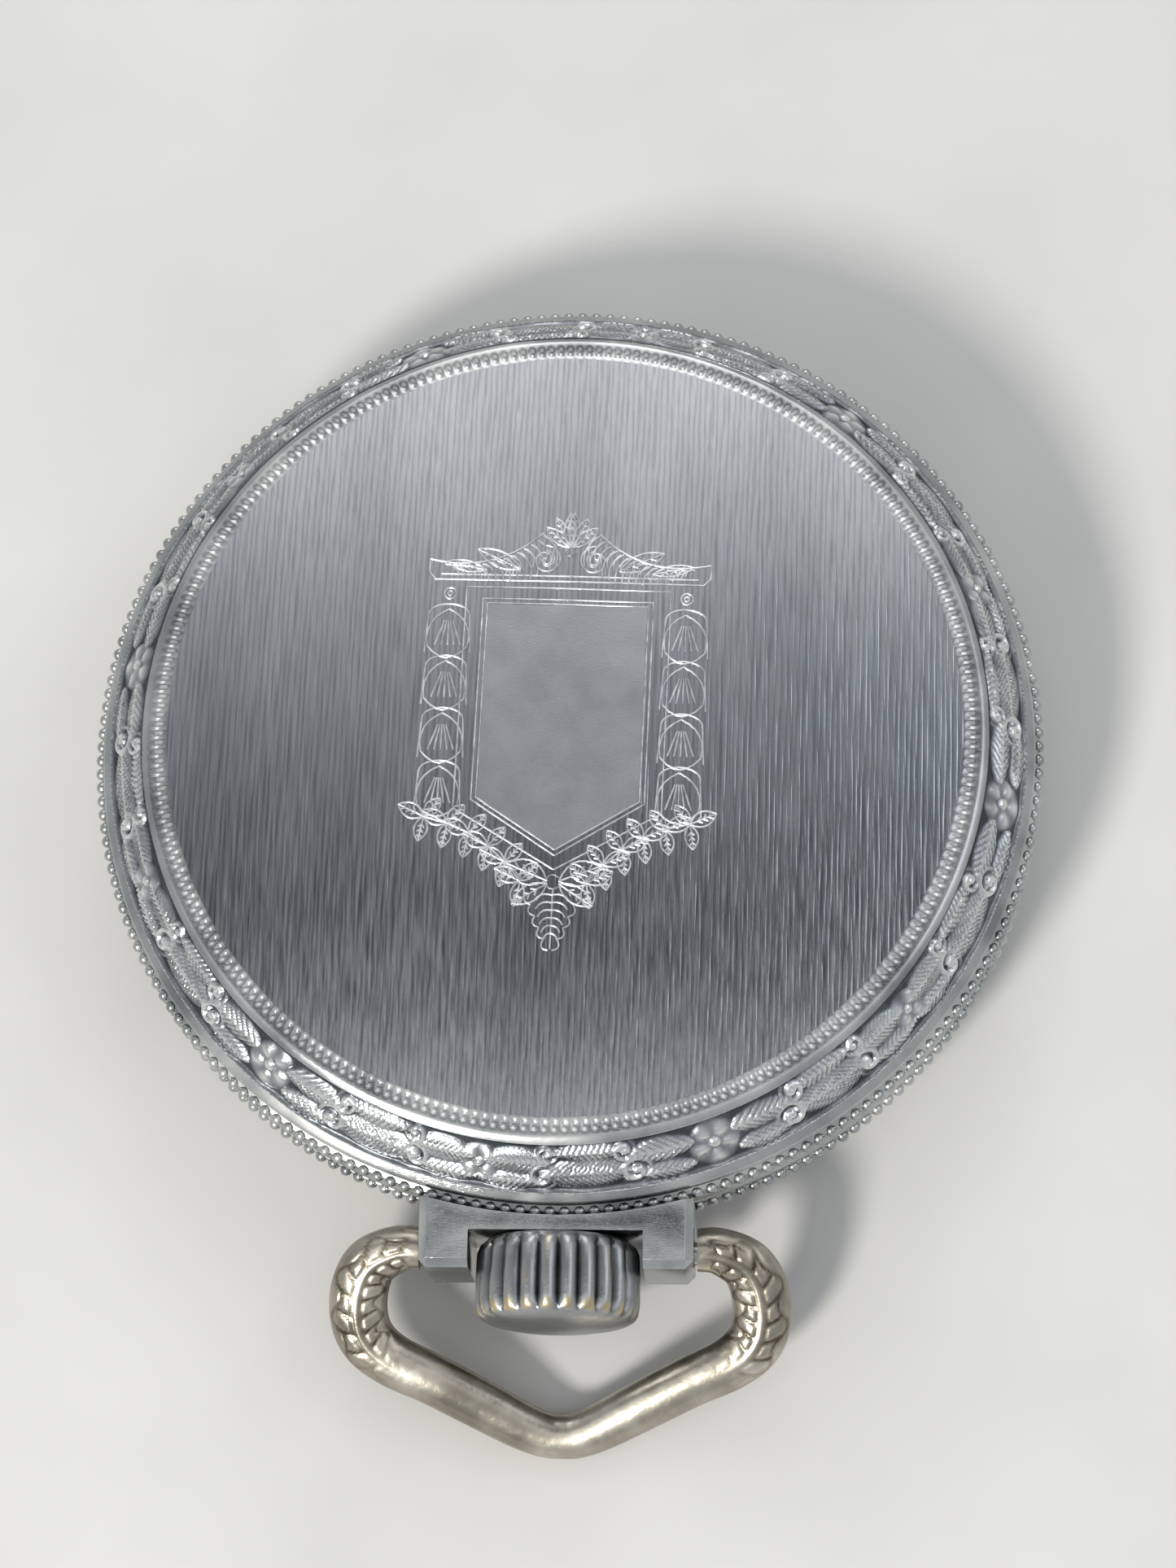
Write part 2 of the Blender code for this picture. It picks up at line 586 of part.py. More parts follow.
def make_bow():
    """The stirrup-shaped bow, hanging by two pins in the pendant's ears."""
    half = bow_path()
    widths = bow_half_widths()
    path = [(-x, y) for x, y in half] + [(x, y) for x, y in reversed(half[:-1])]
    widths = widths + widths[-2::-1]
    drop = Matrix.Rotation(BOW_DROOP, 3, "X")
    rings = []
    for i, (x, y) in enumerate(path):
        before = path[max(i - 1, 0)]
        after = path[min(i + 1, len(path) - 1)]
        tangent = Vector((after[0] - before[0], after[1] - before[1])).normalized()
        if i in (0, len(path) - 1):
            tangent = Vector((-1, 0))
        across = Vector((-tangent.y, tangent.x))
        ring = []
        for k in range(10):
            angle = 2 * pi * k / 10
            aside = across * (widths[i] * cos(angle))
            point = Vector((x + aside.x, -(y + aside.y), BOW_HALF_THICKNESS * sin(angle)))
            ring.append(drop @ point + BOW_PIVOT)
        rings.append(ring)
    inner = PENDANT_WIDTH / 2 - BOW_PIN_REACH
    pin = rod(BOW_PIN_RADIUS, inner, BOW_END_X + 0.6, 10)
    right = lay_along_x(pin.copy(), BOW_PIVOT)
    left = lay_along_x(pin, BOW_PIVOT)
    bmesh.ops.scale(left, verts=left.verts[:], vec=(-1, 1, 1))
    bmesh.ops.reverse_faces(left, faces=left.faces[:])
    finish("bow", joined(loft(rings), right, left), "bow_nickel", BOW_PIVOT)


# ---------------------------------------------------------------- winding and setting

BOSS_OUTER_Y = -(LIP_INNER - 0.2)
BOSS_INNER_Y = BOSS_OUTER_Y + 0.7
GROOVE_Y = BOSS_INNER_Y + CROWN_PULL + 0.25
GROOVE_WIDTH = 0.4
PINION_OUTER_Y = GROOVE_Y + 0.45
PINION_LENGTH = 1.5
PINION_INNER_Y = PINION_OUTER_Y + PINION_LENGTH
CLUTCH_OUTER_Y = PINION_INNER_Y + 0.1
CLUTCH_LENGTH = 2.0
CLUTCH_INNER_Y = CLUTCH_OUTER_Y + CLUTCH_LENGTH
CLUTCH_RADIUS = 1.4
CLUTCH_GROOVE_Y = (CLUTCH_OUTER_Y + CLUTCH_INNER_Y) / 2
PILOT_BOSS_Y = CLUTCH_INNER_Y + CROWN_PULL + 0.25
STEM_END_Y = PILOT_BOSS_Y + 0.7
PINION_BITE = 0.3
PINION_RADIUS = WINDING_WHEEL_LOW + PINION_BITE - STEM_Z
SHIFT_PIN = 0.14


def make_crown():
    """The fluted crown with its low domed end, bored for the stem."""
    middle = CROWN_OUTER_Y + 0.45
    stations = [(0.86, CROWN_INNER_Y), (1.0, CROWN_INNER_Y - 0.5), (1.0, middle), (0.93, CROWN_OUTER_Y)]
    rings = []
    for scale, y in stations:
        ring = []
        for i in range(2 * CROWN_FLUTES):
            radius = scale * (CROWN_RADIUS - CROWN_FLUTE_DEPTH * (i % 2))
            angle = pi * i / CROWN_FLUTES
            ring.append((radius * cos(angle), radius * sin(angle), y))
        rings.append(ring)
    button = turned(
        [(0, CROWN_OUTER_Y - CROWN_DOME), (0.45 * CROWN_RADIUS, CROWN_OUTER_Y - 0.72 * CROWN_DOME),
         (0.85 * CROWN_RADIUS, CROWN_OUTER_Y), (0.8 * CROWN_RADIUS, CROWN_OUTER_Y + 0.5),
         (0, CROWN_OUTER_Y + 0.5)],
        24,
    )
    bore = rod(STEM_RADIUS + 0.04, CROWN_OUTER_Y + 0.9, CROWN_INNER_Y + 1, 10)
    recess = rod(SLEEVE_RADIUS + 0.3, CROWN_INNER_Y - 0.9, CROWN_INNER_Y + 1, 12)
    body = cut(joined(loft(rings), button), bore, recess)
    finish("crown", lay_along_stem(body), "crown_nickel", (0, 0, STEM_Z))


def make_winding_stem():
    """The stem: screwed into the crown, with the setting groove and a pilot at its inner end."""
    thin = STEM_RADIUS - 0.2
    profile = [
        (0, CROWN_OUTER_Y + 1.0), (STEM_RADIUS, CROWN_OUTER_Y + 1.0),
        (STEM_RADIUS, GROOVE_Y - GROOVE_WIDTH / 2), (thin, GROOVE_Y - GROOVE_WIDTH / 2),
        (thin, GROOVE_Y + GROOVE_WIDTH / 2), (STEM_RADIUS, GROOVE_Y + GROOVE_WIDTH / 2),
        (STEM_RADIUS, PILOT_BOSS_Y - 0.1), (thin, PILOT_BOSS_Y - 0.1), (thin, STEM_END_Y), (0, STEM_END_Y),
    ]
    finish("winding_stem", lay_along_stem(turned(profile, 10)), "polished_steel", (0, 0, STEM_Z))


def make_winding_pinion():
    """The toothed wheel on the stem that drives the crown wheel."""
    root = PINION_RADIUS - 0.55
    points = []
    for i in range(PINION_TEETH):
        middle = pi / 2 + 2 * pi * i / PINION_TEETH
        for radius, share in ((root, -0.22), (PINION_RADIUS, -0.07), (PINION_RADIUS, 0.07), (root, 0.22)):
            angle = middle + share * 2 * pi / PINION_TEETH
            points.append((radius * cos(angle), -radius * sin(angle)))
    bore = circle(STEM_RADIUS + 0.06, 12)
    bm = slab([points, bore], PINION_OUTER_Y, PINION_INNER_Y)
    finish("winding_pinion", lay_along_stem(bm), "polished_steel", (0, 0, STEM_Z))


def make_clutch_wheel():
    """The sliding clutch, with the groove that its lever sits in."""
    bore = STEM_RADIUS + 0.06
    low = CLUTCH_GROOVE_Y - 0.25
    high = CLUTCH_GROOVE_Y + 0.25
    waist = CLUTCH_RADIUS - 0.5
    profile = [
        (bore, CLUTCH_OUTER_Y), (CLUTCH_RADIUS, CLUTCH_OUTER_Y), (CLUTCH_RADIUS, low), (waist, low),
        (waist, high), (CLUTCH_RADIUS, high), (CLUTCH_RADIUS, CLUTCH_INNER_Y), (bore, CLUTCH_INNER_Y),
    ]
    finish("clutch_wheel", lay_along_stem(turned(profile, 16)), "polished_steel", (0, 0, STEM_Z))


SETTING_PIVOT = Vector((4.2, GROOVE_Y + 0.4))
CLUTCH_PIVOT = Vector((4.4, CLUTCH_GROOVE_Y + 0.3))
LEVER_LOW = DIAL_HIGH + 0.2
LEVER_HIGH = LEVER_LOW + 0.3
LEVER_STUD = 0.4


def lever(name, pivot, tip_y, top):
    """A flat lever under the plate, with a stud in the plate and a pin that reaches the stem."""
    tip = Vector((0, tip_y))
    arm = slab([capsule(pivot, tip, 0.75, 0.35)], LEVER_LOW, LEVER_HIGH)
    stud = rod(LEVER_STUD, LEVER_LOW + 0.1, PLATE_LOW + 0.8, 10, pivot)
    pin = rod(SHIFT_PIN, LEVER_LOW + 0.1, top, 8, tip)
    finish(name, joined(arm, stud, pin), "polished_steel", (pivot.x, pivot.y, 0))


def make_levers():
    lever("setting_lever", SETTING_PIVOT, GROOVE_Y, STEM_Z - STEM_RADIUS + 0.12)
    lever("clutch_lever", CLUTCH_PIVOT, CLUTCH_GROOVE_Y, STEM_Z - CLUTCH_RADIUS + 0.35)


CROWN_WHEEL_PHASE = -pi / 2 + pi / CROWN_WHEEL_TEETH
WINDING_TIP = 0.65
WINDING_MODULE = module_of(CROWN_WHEEL_AT, BARREL_AT, CROWN_WHEEL_TEETH, RATCHET_TEETH)


def make_crown_wheel():
    """The flat wheel on the bridge, turned by the winding pinion under its edge."""
    rim = wheel_outline(CROWN_WHEEL_AT, CROWN_WHEEL_TEETH, WINDING_MODULE, CROWN_WHEEL_PHASE, 0.1, WINDING_TIP)
    bore = circle(0.7, 12, CROWN_WHEEL_AT)
    disc = slab([rim, bore], WINDING_WHEEL_LOW, WINDING_WHEEL_HIGH)
    finish("crown_wheel", disc, "polished_steel", CROWN_WHEEL_AT)


RATCHET_PHASE = phase_to_mesh(CROWN_WHEEL_AT, CROWN_WHEEL_TEETH, CROWN_WHEEL_PHASE, BARREL_AT, RATCHET_TEETH)
RATCHET_TIP = WINDING_MODULE * (RATCHET_TEETH / 2 + WINDING_TIP)


def make_ratchet_wheel():
    """The wheel on top of the barrel arbor."""
    rim = wheel_outline(BARREL_AT, RATCHET_TEETH, WINDING_MODULE, RATCHET_PHASE, 0.1, WINDING_TIP)
    bore = circle(0.8, 12, BARREL_AT)
    disc = slab([rim, bore], WINDING_WHEEL_LOW, WINDING_WHEEL_HIGH)
    finish("ratchet_wheel", disc, "polished_steel", BARREL_AT)


CLICK_NOSE = BARREL_AT + Vector((cos(radians(172)), sin(radians(172)))) * (RATCHET_TIP + 0.45)
CLICK_AT = BARREL_AT + Vector((cos(radians(199)), sin(radians(199)))) * (RATCHET_TIP + 1.5)


def make_click():
    """The click, a short pawl beside the ratchet wheel."""
    bore = circle(0.45, 10, CLICK_AT)
    bm = slab([capsule(CLICK_AT, CLICK_NOSE, 0.9, 0.3), bore], WINDING_WHEEL_LOW, WINDING_WHEEL_LOW + 0.3)
    finish("click", bm, "polished_steel", CLICK_AT)


CLICK_SPRING_FOOT = plan(-17.6, 1.6)


def make_click_spring():
    """A thin bent spring that presses the click from outside, pinned in the bridge."""
    out = (CLICK_NOSE - BARREL_AT).normalized()
    touch = CLICK_NOSE + out * 0.75
    bend = (touch + CLICK_SPRING_FOOT) / 2 + out * 0.7
    spine = []
    for i in range(9):
        t = i / 8
        spine.append(touch * (1 - t) ** 2 + bend * 2 * t * (1 - t) + CLICK_SPRING_FOOT * t * t)
    outline = []
    for side in (1, -1):
        edge = []
        for i, point in enumerate(spine):
            along = (spine[min(i + 1, 8)] - spine[max(i - 1, 0)]).normalized()
            edge.append(point + Vector((-along.y, along.x)) * 0.1 * side)
        outline += edge if side > 0 else edge[::-1]
    blade = slab([outline], WINDING_WHEEL_LOW, WINDING_WHEEL_LOW + 0.25)
    foot = rod(0.55, WINDING_WHEEL_LOW - 0.02, WINDING_WHEEL_LOW + 0.27, 12, CLICK_SPRING_FOOT)
    pin = rod(0.3, BRIDGE_LOW + 0.3, WINDING_WHEEL_LOW + 0.1, 8, CLICK_SPRING_FOOT)
    finish("click_spring", joined(blade, foot, pin), "blued_steel")


# ---------------------------------------------------------------- plate, bridges and cocks

BARREL_FEET = [plan(-17.8, 4.2), plan(6.5, -16.5), plan(-6.8, -17.0)]
TRAIN_FEET = [plan(-12.5, 14.0), plan(9.8, 15.6)]
PALLET_FOOT = plan(14.6, 7.6)
COCK_SCREW = plan(11.6, -13.7)
PIVOT_PLACES = [THIRD_AT, ESCAPE_AT, BALANCE_AT]


def hole(centre, radius=SCREW_HOLE, steps=8):
    return circle(radius, steps, centre)


def case_screw_places():
    return [Vector((r * cos(radians(a)), r * sin(radians(a)))) for r, a in CASE_SCREW_AT]


def winding_slot():
    """The opening in the plate for the pinion, the clutch and the setting pin."""
    wide = PINION_RADIUS + 0.25
    narrow = CLUTCH_RADIUS + 0.2
    pin = SHIFT_PIN + 0.25
    outer = GROOVE_Y - CROWN_PULL - 0.25
    top = [(pin, outer), (pin, PINION_OUTER_Y - 0.2), (wide, PINION_OUTER_Y - 0.2), (wide, PINION_INNER_Y + 0.1)]
    top += [(narrow, PINION_INNER_Y + 0.1), (narrow, PILOT_BOSS_Y - 0.15)]
    return top + [(-x, y) for x, y in reversed(top)]


def make_main_plate():
    """The pillar plate, with the bosses that carry the stem and the post of the minute wheel."""
    holes = [hole(place) for place in BARREL_FEET + TRAIN_FEET + [PALLET_FOOT, COCK_SCREW]]
    holes += [hole(place) for place in case_screw_places()]
    holes += [hole(place, PIVOT_HOLE, 6) for place in PIVOT_PLACES + [PALLET_AT]]
    holes += [hole(CENTRE_AT, 1.0, 12), hole(FOURTH_AT, 0.35), hole(BARREL_AT, 0.95, 10)]
    holes += [hole(SETTING_PIVOT, LEVER_STUD + 0.15), hole(CLUTCH_PIVOT, LEVER_STUD + 0.15), winding_slot()]
    plate = slab([circle(PLATE_RADIUS, CASE_STEPS)] + holes, PLATE_LOW, PLATE_HIGH)
    boss_high = STEM_Z + STEM_RADIUS + 0.4
    outer_boss = box((-2.4, BOSS_OUTER_Y, PLATE_HIGH - 0.3), (2.4, BOSS_INNER_Y, boss_high))
    pilot_boss = box((-1.3, PILOT_BOSS_Y, PLATE_HIGH - 0.3), (1.3, STEM_END_Y, boss_high))
    bore = lay_along_stem(rod(SLEEVE_BORE, -PLATE_RADIUS - 1, STEM_END_Y + 1, 12))
    bosses = [cut(outer_boss, bore.copy()), cut(pilot_boss, bore)]
    posts = [
        rod(0.4, DIAL_HIGH + 0.15, PLATE_LOW + 0.3, 10, place) for place in (MINUTE_WHEEL_AT, SETTING_WHEEL_AT)
    ]
    finish("main_plate", joined(plate, *bosses, *posts), "plate_nickel")


def foot(centre, high, radius=FOOT_RADIUS):
    """A hollow pillar under a bridge, standing on the plate round its screw."""
    return slab([circle(radius, 12, centre), hole(centre)], PLATE_HIGH + SEAT, high)


def make_barrel_bridge():
    """The bridge over the barrel and under the winding wheels."""
    notch = PINION_RADIUS + 0.35
    notch_y = PINION_INNER_Y + 0.25
    rim_angle = degrees(atan2(sqrt(BRIDGE_RADIUS ** 2 - notch ** 2), notch))
    outline = arc(BRIDGE_RADIUS, 162, 360 - (180 - rim_angle), 12)
    outline += [(-notch, notch_y), (notch, notch_y)]
    outline += arc(BRIDGE_RADIUS, 360 - rim_angle, 297, 3)
    outline += [tuple(plan(*p)) for p in ((5.4, -9.0), (1.4, -2.9), (-2.8, -1.3), (-12.7, 2.7), (-16.8, 5.9))]
    holes = [hole(place) for place in BARREL_FEET]
    holes += [hole(BARREL_AT, 0.95, 10), hole(CROWN_WHEEL_AT, 0.5), hole(CLICK_AT), hole(CLICK_SPRING_FOOT, 0.4)]
    top = slab([outline] + holes, BRIDGE_LOW, BRIDGE_HIGH)
    feet = [foot(place, BRIDGE_LOW + 0.2) for place in BARREL_FEET]
    finish("barrel_bridge", joined(top, *feet), "plate_nickel")


def make_train_bridge():
    """The bridge over the centre, third, fourth and escape wheels."""
    outline = arc(BRIDGE_RADIUS, 58, 148, 9)
    outline += [tuple(plan(*p)) for p in ((-15.5, 8.6), (-12.3, 3.1), (-2.7, -0.9), (0.2, -2.1), (2.4, -1.4))]
    outline += arc(BALANCE_RADIUS + 1.05, 156, 108, 6, BALANCE_AT)
    outline += [tuple(plan(12.0, 10.6))]
    jewel = JEWEL_RADIUS + 0.06
    holes = [hole(place, jewel, 10) for place in (THIRD_AT, FOURTH_AT, ESCAPE_AT)]
    holes += [hole(CENTRE_AT, 0.4)] + [hole(place) for place in TRAIN_FEET]
    top = slab([outline] + holes, BRIDGE_LOW, BRIDGE_HIGH)
    feet = [foot(place, BRIDGE_LOW + 0.2) for place in TRAIN_FEET]
    finish("train_bridge", joined(top, *feet), "plate_nickel")


def make_balance_cock():
    """The cock over the balance, with its foot at the edge of the plate."""
    rim = arc(BRIDGE_RADIUS, 321, 302, 4)
    near = [(15.5 * GROWTH, 302), (17.0 * GROWTH, 321)]
    inner, outer = [(r * cos(radians(a)), r * sin(radians(a))) for r, a in near]
    head = arc(2.0, 180, 0, 8, BALANCE_AT)
    top = slab([[inner] + head + [outer] + rim, hole(BALANCE_AT, 0.5), hole(COCK_SCREW)], COCK_LOW, COCK_HIGH)
    base = slab([[inner, outer] + rim, hole(COCK_SCREW)], PLATE_HIGH + SEAT, COCK_LOW + 0.2)
    finish("balance_cock", joined(top, base), "plate_nickel")


PALLET_COCK_LOW = ESCAPE_WHEEL_HIGH + 0.25
PALLET_COCK_HIGH = PALLET_COCK_LOW + 0.5


def make_pallet_cock():
    """The small cock over the pallet fork."""
    outline = capsule(PALLET_AT, PALLET_FOOT, 0.9, 1.4)
    top = slab([outline, hole(PALLET_AT, PIVOT_HOLE, 6), hole(PALLET_FOOT)], PALLET_COCK_LOW, PALLET_COCK_HIGH)
    finish("pallet_cock", joined(top, foot(PALLET_FOOT, PALLET_COCK_LOW + 0.2)), "plate_nickel")


def screw(name, centre, under_head, end, head=SCREW_HEAD, shank=SCREW_SHANK):
    """A slotted cheese-head screw."""
    top = under_head + SCREW_HEAD_HEIGHT
    profile = [(0, end), (shank, end), (shank, under_head), (head, under_head), (head, top), (0, top)]
    slot = box((-head - 1, -SLOT_WIDTH / 2, top - 0.15), (head + 1, SLOT_WIDTH / 2, top + 1))
    bmesh.ops.rotate(slot, verts=slot.verts[:], cent=(0, 0, 0), matrix=Matrix.Rotation(0.6, 3, "Z"))
    bmesh.ops.translate(slot, verts=slot.verts[:], vec=(centre[0], centre[1], 0))
    finish(name, cut(turned(profile, 12, centre), slot), "blued_steel", centre)


def make_screws():
    into_plate = PLATE_LOW + 0.3
    for name, place in zip(("left", "right", "front"), BARREL_FEET):
        screw(f"barrel_bridge_screw_{name}", place, BRIDGE_HIGH + SEAT, into_plate)
    for name, place in zip(("left", "right"), TRAIN_FEET):
        screw(f"train_bridge_screw_{name}", place, BRIDGE_HIGH + SEAT, into_plate)
    screw("balance_cock_screw", COCK_SCREW, COCK_HIGH + SEAT, into_plate)
    screw("pallet_cock_screw", PALLET_FOOT, PALLET_COCK_HIGH + SEAT, into_plate)
    lip_high = PLATE_HIGH + JOINT_GAP + 1.25
    for name, place in zip(("right", "left"), case_screw_places()):
        screw(f"case_screw_{name}", place, lip_high + 0.1, into_plate, head=1.2)
    screw("crown_wheel_screw", CROWN_WHEEL_AT, WINDING_WHEEL_HIGH + SEAT, BRIDGE_LOW + 0.1, head=1.3)
    screw("click_screw", CLICK_AT, WINDING_WHEEL_LOW + 0.3 + SEAT, BRIDGE_LOW + 0.1, head=0.7, shank=0.32)
    screw("ratchet_screw", BARREL_AT, WINDING_WHEEL_HIGH + SEAT, BRIDGE_LOW + 0.4, head=1.4)


def make_jewels():
    """The ruby bearings in the train bridge, and the cap jewel over the balance."""
    for name, place in (("third", THIRD_AT), ("fourth", FOURTH_AT), ("escape", ESCAPE_AT)):
        outlines = [circle(JEWEL_RADIUS, 10, place), circle(PIVOT_HOLE, 6, place)]
        finish(f"{name}_jewel", slab(outlines, BRIDGE_LOW + 0.1, BRIDGE_HIGH + 0.03), "jewel_ruby", place)
    cap = [(0, COCK_HIGH + SEAT), (0.75, COCK_HIGH + SEAT), (0.75, COCK_HIGH + 0.2), (0.5, COCK_HIGH + 0.35)]
    finish("balance_cap_jewel", turned(cap + [(0, COCK_HIGH + 0.35)], 12, BALANCE_AT), "jewel_ruby", BALANCE_AT)


# ---------------------------------------------------------------- train

BARREL_MODULE = module_of(BARREL_AT, CENTRE_AT, BARREL_TEETH, CENTRE_LEAVES)
BARREL_WALL_RADIUS = BARREL_MODULE * (BARREL_TEETH / 2 - 1.2)
BARREL_INSIDE = BARREL_WALL_RADIUS - 0.35


def make_barrel():
    """The toothed drum that holds the mainspring."""
    floor = BARREL_LOW + 0.25
    cup = [
        (1.4, BARREL_LOW), (BARREL_WALL_RADIUS, BARREL_LOW), (BARREL_WALL_RADIUS, BARREL_HIGH),
        (BARREL_INSIDE, BARREL_HIGH), (BARREL_INSIDE, floor), (1.4, floor),
    ]
    teeth = wheel_outline(BARREL_AT, BARREL_TEETH, BARREL_MODULE, 0.0)
    ring = slab([teeth, circle(BARREL_INSIDE + 0.15, 36, BARREL_AT)], BARREL_LOW + 0.05, BARREL_LOW + 0.5)
    finish("barrel", joined(turned(cup, 36, BARREL_AT), ring), "gilt_brass", BARREL_AT)


def make_barrel_cover():
    """The lid snapped into the barrel's rim."""
    edge = BARREL_INSIDE * cos(pi / 36) - 0.06
    low = BARREL_HIGH - 0.25
    profile = [(1.4, low), (edge, low), (edge, BARREL_HIGH - 0.02), (1.4, BARREL_HIGH - 0.02)]
    finish("barrel_cover", turned(profile, 36, BARREL_AT), "gilt_brass", BARREL_AT)


def spiral(centre, inner, outer, turns, wall, low, high, steps, start=0.0):
    """A flat spiral spring of rectangular section."""
    rings = []
    for i in range(steps + 1):
        t = i / steps
        angle = start + 2 * pi * turns * t
        radius = inner + (outer - inner) * t
        ring = []
        for aside, height in ((-wall / 2, low), (wall / 2, low), (wall / 2, high), (-wall / 2, high)):
            far = radius + aside
            ring.append((centre[0] + far * cos(angle), centre[1] + far * sin(angle), height))
        rings.append(ring)
    return loft(rings)


def make_mainspring():
    """The coiled mainspring, drawn part wound."""
    low = BARREL_LOW + 0.35
    high = BARREL_HIGH - 0.35
    outer = BARREL_INSIDE * cos(pi / 36) - 0.2
    finish("mainspring", spiral(BARREL_AT, 1.95, outer, 7, 0.16, low, high, 98), "blued_steel", BARREL_AT)


def make_barrel_arbor():
    """The arbor: hooks the mainspring, and carries the ratchet wheel on its upper end."""
    profile = [
        (0.45, BRIDGE_LOW + 0.3), (0.45, WINDING_WHEEL_HIGH - 0.02), (0.72, WINDING_WHEEL_HIGH - 0.02),
        (0.72, WINDING_WHEEL_LOW - 0.02), (0.85, WINDING_WHEEL_LOW - 0.02), (0.85, BRIDGE_LOW - 0.1),
        (1.2, BRIDGE_LOW - 0.1), (1.2, BARREL_HIGH - 0.35), (1.6, BARREL_HIGH - 0.35), (1.6, BARREL_LOW + 0.35),
        (1.2, BARREL_LOW + 0.35), (1.2, BARREL_LOW - 0.05), (0.8, BARREL_LOW - 0.05), (0.8, PLATE_LOW + 0.3),
        (0, PLATE_LOW + 0.3), (0, BRIDGE_LOW + 0.3),
    ]
    bm = turned_solid(profile, 12, BARREL_AT)
    finish("barrel_arbor", bm, "polished_steel", BARREL_AT)


def turned_solid(profile, steps, centre):
    """A turned piece with a blind hole: its last two points lie on the axis."""
    chain = [profile[-1]] + profile[:-1]
    return turned(chain, steps, centre)


CENTRE_LEAF_PHASE = phase_to_mesh(BARREL_AT, BARREL_TEETH, 0.0, CENTRE_AT, CENTRE_LEAVES)
THIRD_MODULE = module_of(CENTRE_AT, THIRD_AT, CENTRE_TEETH, THIRD_LEAVES)
FOURTH_MODULE = module_of(THIRD_AT, FOURTH_AT, THIRD_TEETH, FOURTH_LEAVES)
ESCAPE_MODULE = module_of(FOURTH_AT, ESCAPE_AT, FOURTH_TEETH, ESCAPE_LEAVES)
THIRD_LEAF_PHASE = phase_to_mesh(CENTRE_AT, CENTRE_TEETH, 0.0, THIRD_AT, THIRD_LEAVES)
FOURTH_LEAF_PHASE = phase_to_mesh(THIRD_AT, THIRD_TEETH, 0.0, FOURTH_AT, FOURTH_LEAVES)
ESCAPE_LEAF_PHASE = phase_to_mesh(FOURTH_AT, FOURTH_TEETH, 0.0, ESCAPE_AT, ESCAPE_LEAVES)
CENTRE_ARBOR = 0.42


def crossed_wheel(centre, teeth, module, low, arms=5):
    """A wheel with arms, its teeth counted from angle zero."""
    root = module * (teeth / 2 - 1.35)
    openings = crossings(centre, 0.26 * root, root - 0.75, arms, 0.6)
    return slab([wheel_outline(centre, teeth, module, 0.0)] + openings, low, low + WHEEL_THICKNESS)


def make_centre_wheel():
    """The centre wheel with its pinion, on the arbor that carries the cannon pinion."""
    wheel = crossed_wheel(CENTRE_AT, CENTRE_TEETH, THIRD_MODULE, CENTRE_WHEEL_LOW)
    leaves = pinion_outline(CENTRE_AT, CENTRE_LEAVES, BARREL_MODULE, CENTRE_LEAF_PHASE)
    pinion = slab([leaves], PLATE_HIGH + 0.1, BARREL_LOW + 0.7)
    shaft = [
        (0, MINUTE_HAND_LOW + 0.1), (CENTRE_ARBOR, MINUTE_HAND_LOW + 0.1), (CENTRE_ARBOR, PLATE_LOW - 0.05),
        (0.75, PLATE_LOW - 0.05), (0.75, BRIDGE_LOW - 0.1), (0.25, BRIDGE_LOW - 0.1), (0.25, BRIDGE_HIGH),
        (0, BRIDGE_HIGH),
    ]
    finish("centre_wheel", joined(wheel, pinion, turned(shaft, 12)), "gilt_brass", CENTRE_AT)


def make_third_wheel():
    wheel = crossed_wheel(THIRD_AT, THIRD_TEETH, FOURTH_MODULE, THIRD_WHEEL_LOW)
    leaves = pinion_outline(THIRD_AT, THIRD_LEAVES, THIRD_MODULE, THIRD_LEAF_PHASE)
    pinion = slab([leaves], CENTRE_WHEEL_LOW - 0.15, THIRD_WHEEL_LOW + 0.1)
    shaft = arbor(PLATE_LOW + 0.5, BRIDGE_HIGH - 0.1, PLATE_HIGH + 0.1, BRIDGE_LOW + 0.02, THIRD_AT)
    finish("third_wheel", joined(wheel, pinion, shaft), "gilt_brass", THIRD_AT)


def make_fourth_wheel():
    """The fourth wheel, whose long arbor carries the seconds hand through the dial."""
    wheel = crossed_wheel(FOURTH_AT, FOURTH_TEETH, ESCAPE_MODULE, FOURTH_WHEEL_LOW)
    leaves = pinion_outline(FOURTH_AT, FOURTH_LEAVES, FOURTH_MODULE, FOURTH_LEAF_PHASE)
    pinion = slab([leaves], THIRD_WHEEL_LOW - 0.12, BRIDGE_LOW - 0.07)
    shaft = [
        (0, SECONDS_HAND_LOW), (0.16, SECONDS_HAND_LOW), (0.16, PLATE_HIGH + 0.1), (ARBOR_RADIUS, PLATE_HIGH + 0.1),
        (ARBOR_RADIUS, BRIDGE_LOW + 0.02), (PIVOT_RADIUS, BRIDGE_LOW + 0.02), (PIVOT_RADIUS, BRIDGE_HIGH - 0.1),
        (0, BRIDGE_HIGH - 0.1),
    ]
    finish("fourth_wheel", joined(wheel, pinion, turned(shaft, 10, FOURTH_AT)), "gilt_brass", FOURTH_AT)


def escape_outline():
    """Fifteen raked teeth with broad club tips."""
    points = []
    pitch = 2 * pi / ESCAPE_TEETH
    for i in range(ESCAPE_TEETH):
        middle = i * pitch
        for radius, share in ((0.78, -0.28), (0.98, -0.02), (1.0, 0.16), (0.95, 0.12), (0.78, -0.04)):
            angle = middle + share * pitch
            far = ESCAPE_RADIUS * radius
            points.append((ESCAPE_AT.x + far * cos(angle), ESCAPE_AT.y + far * sin(angle)))
    return points


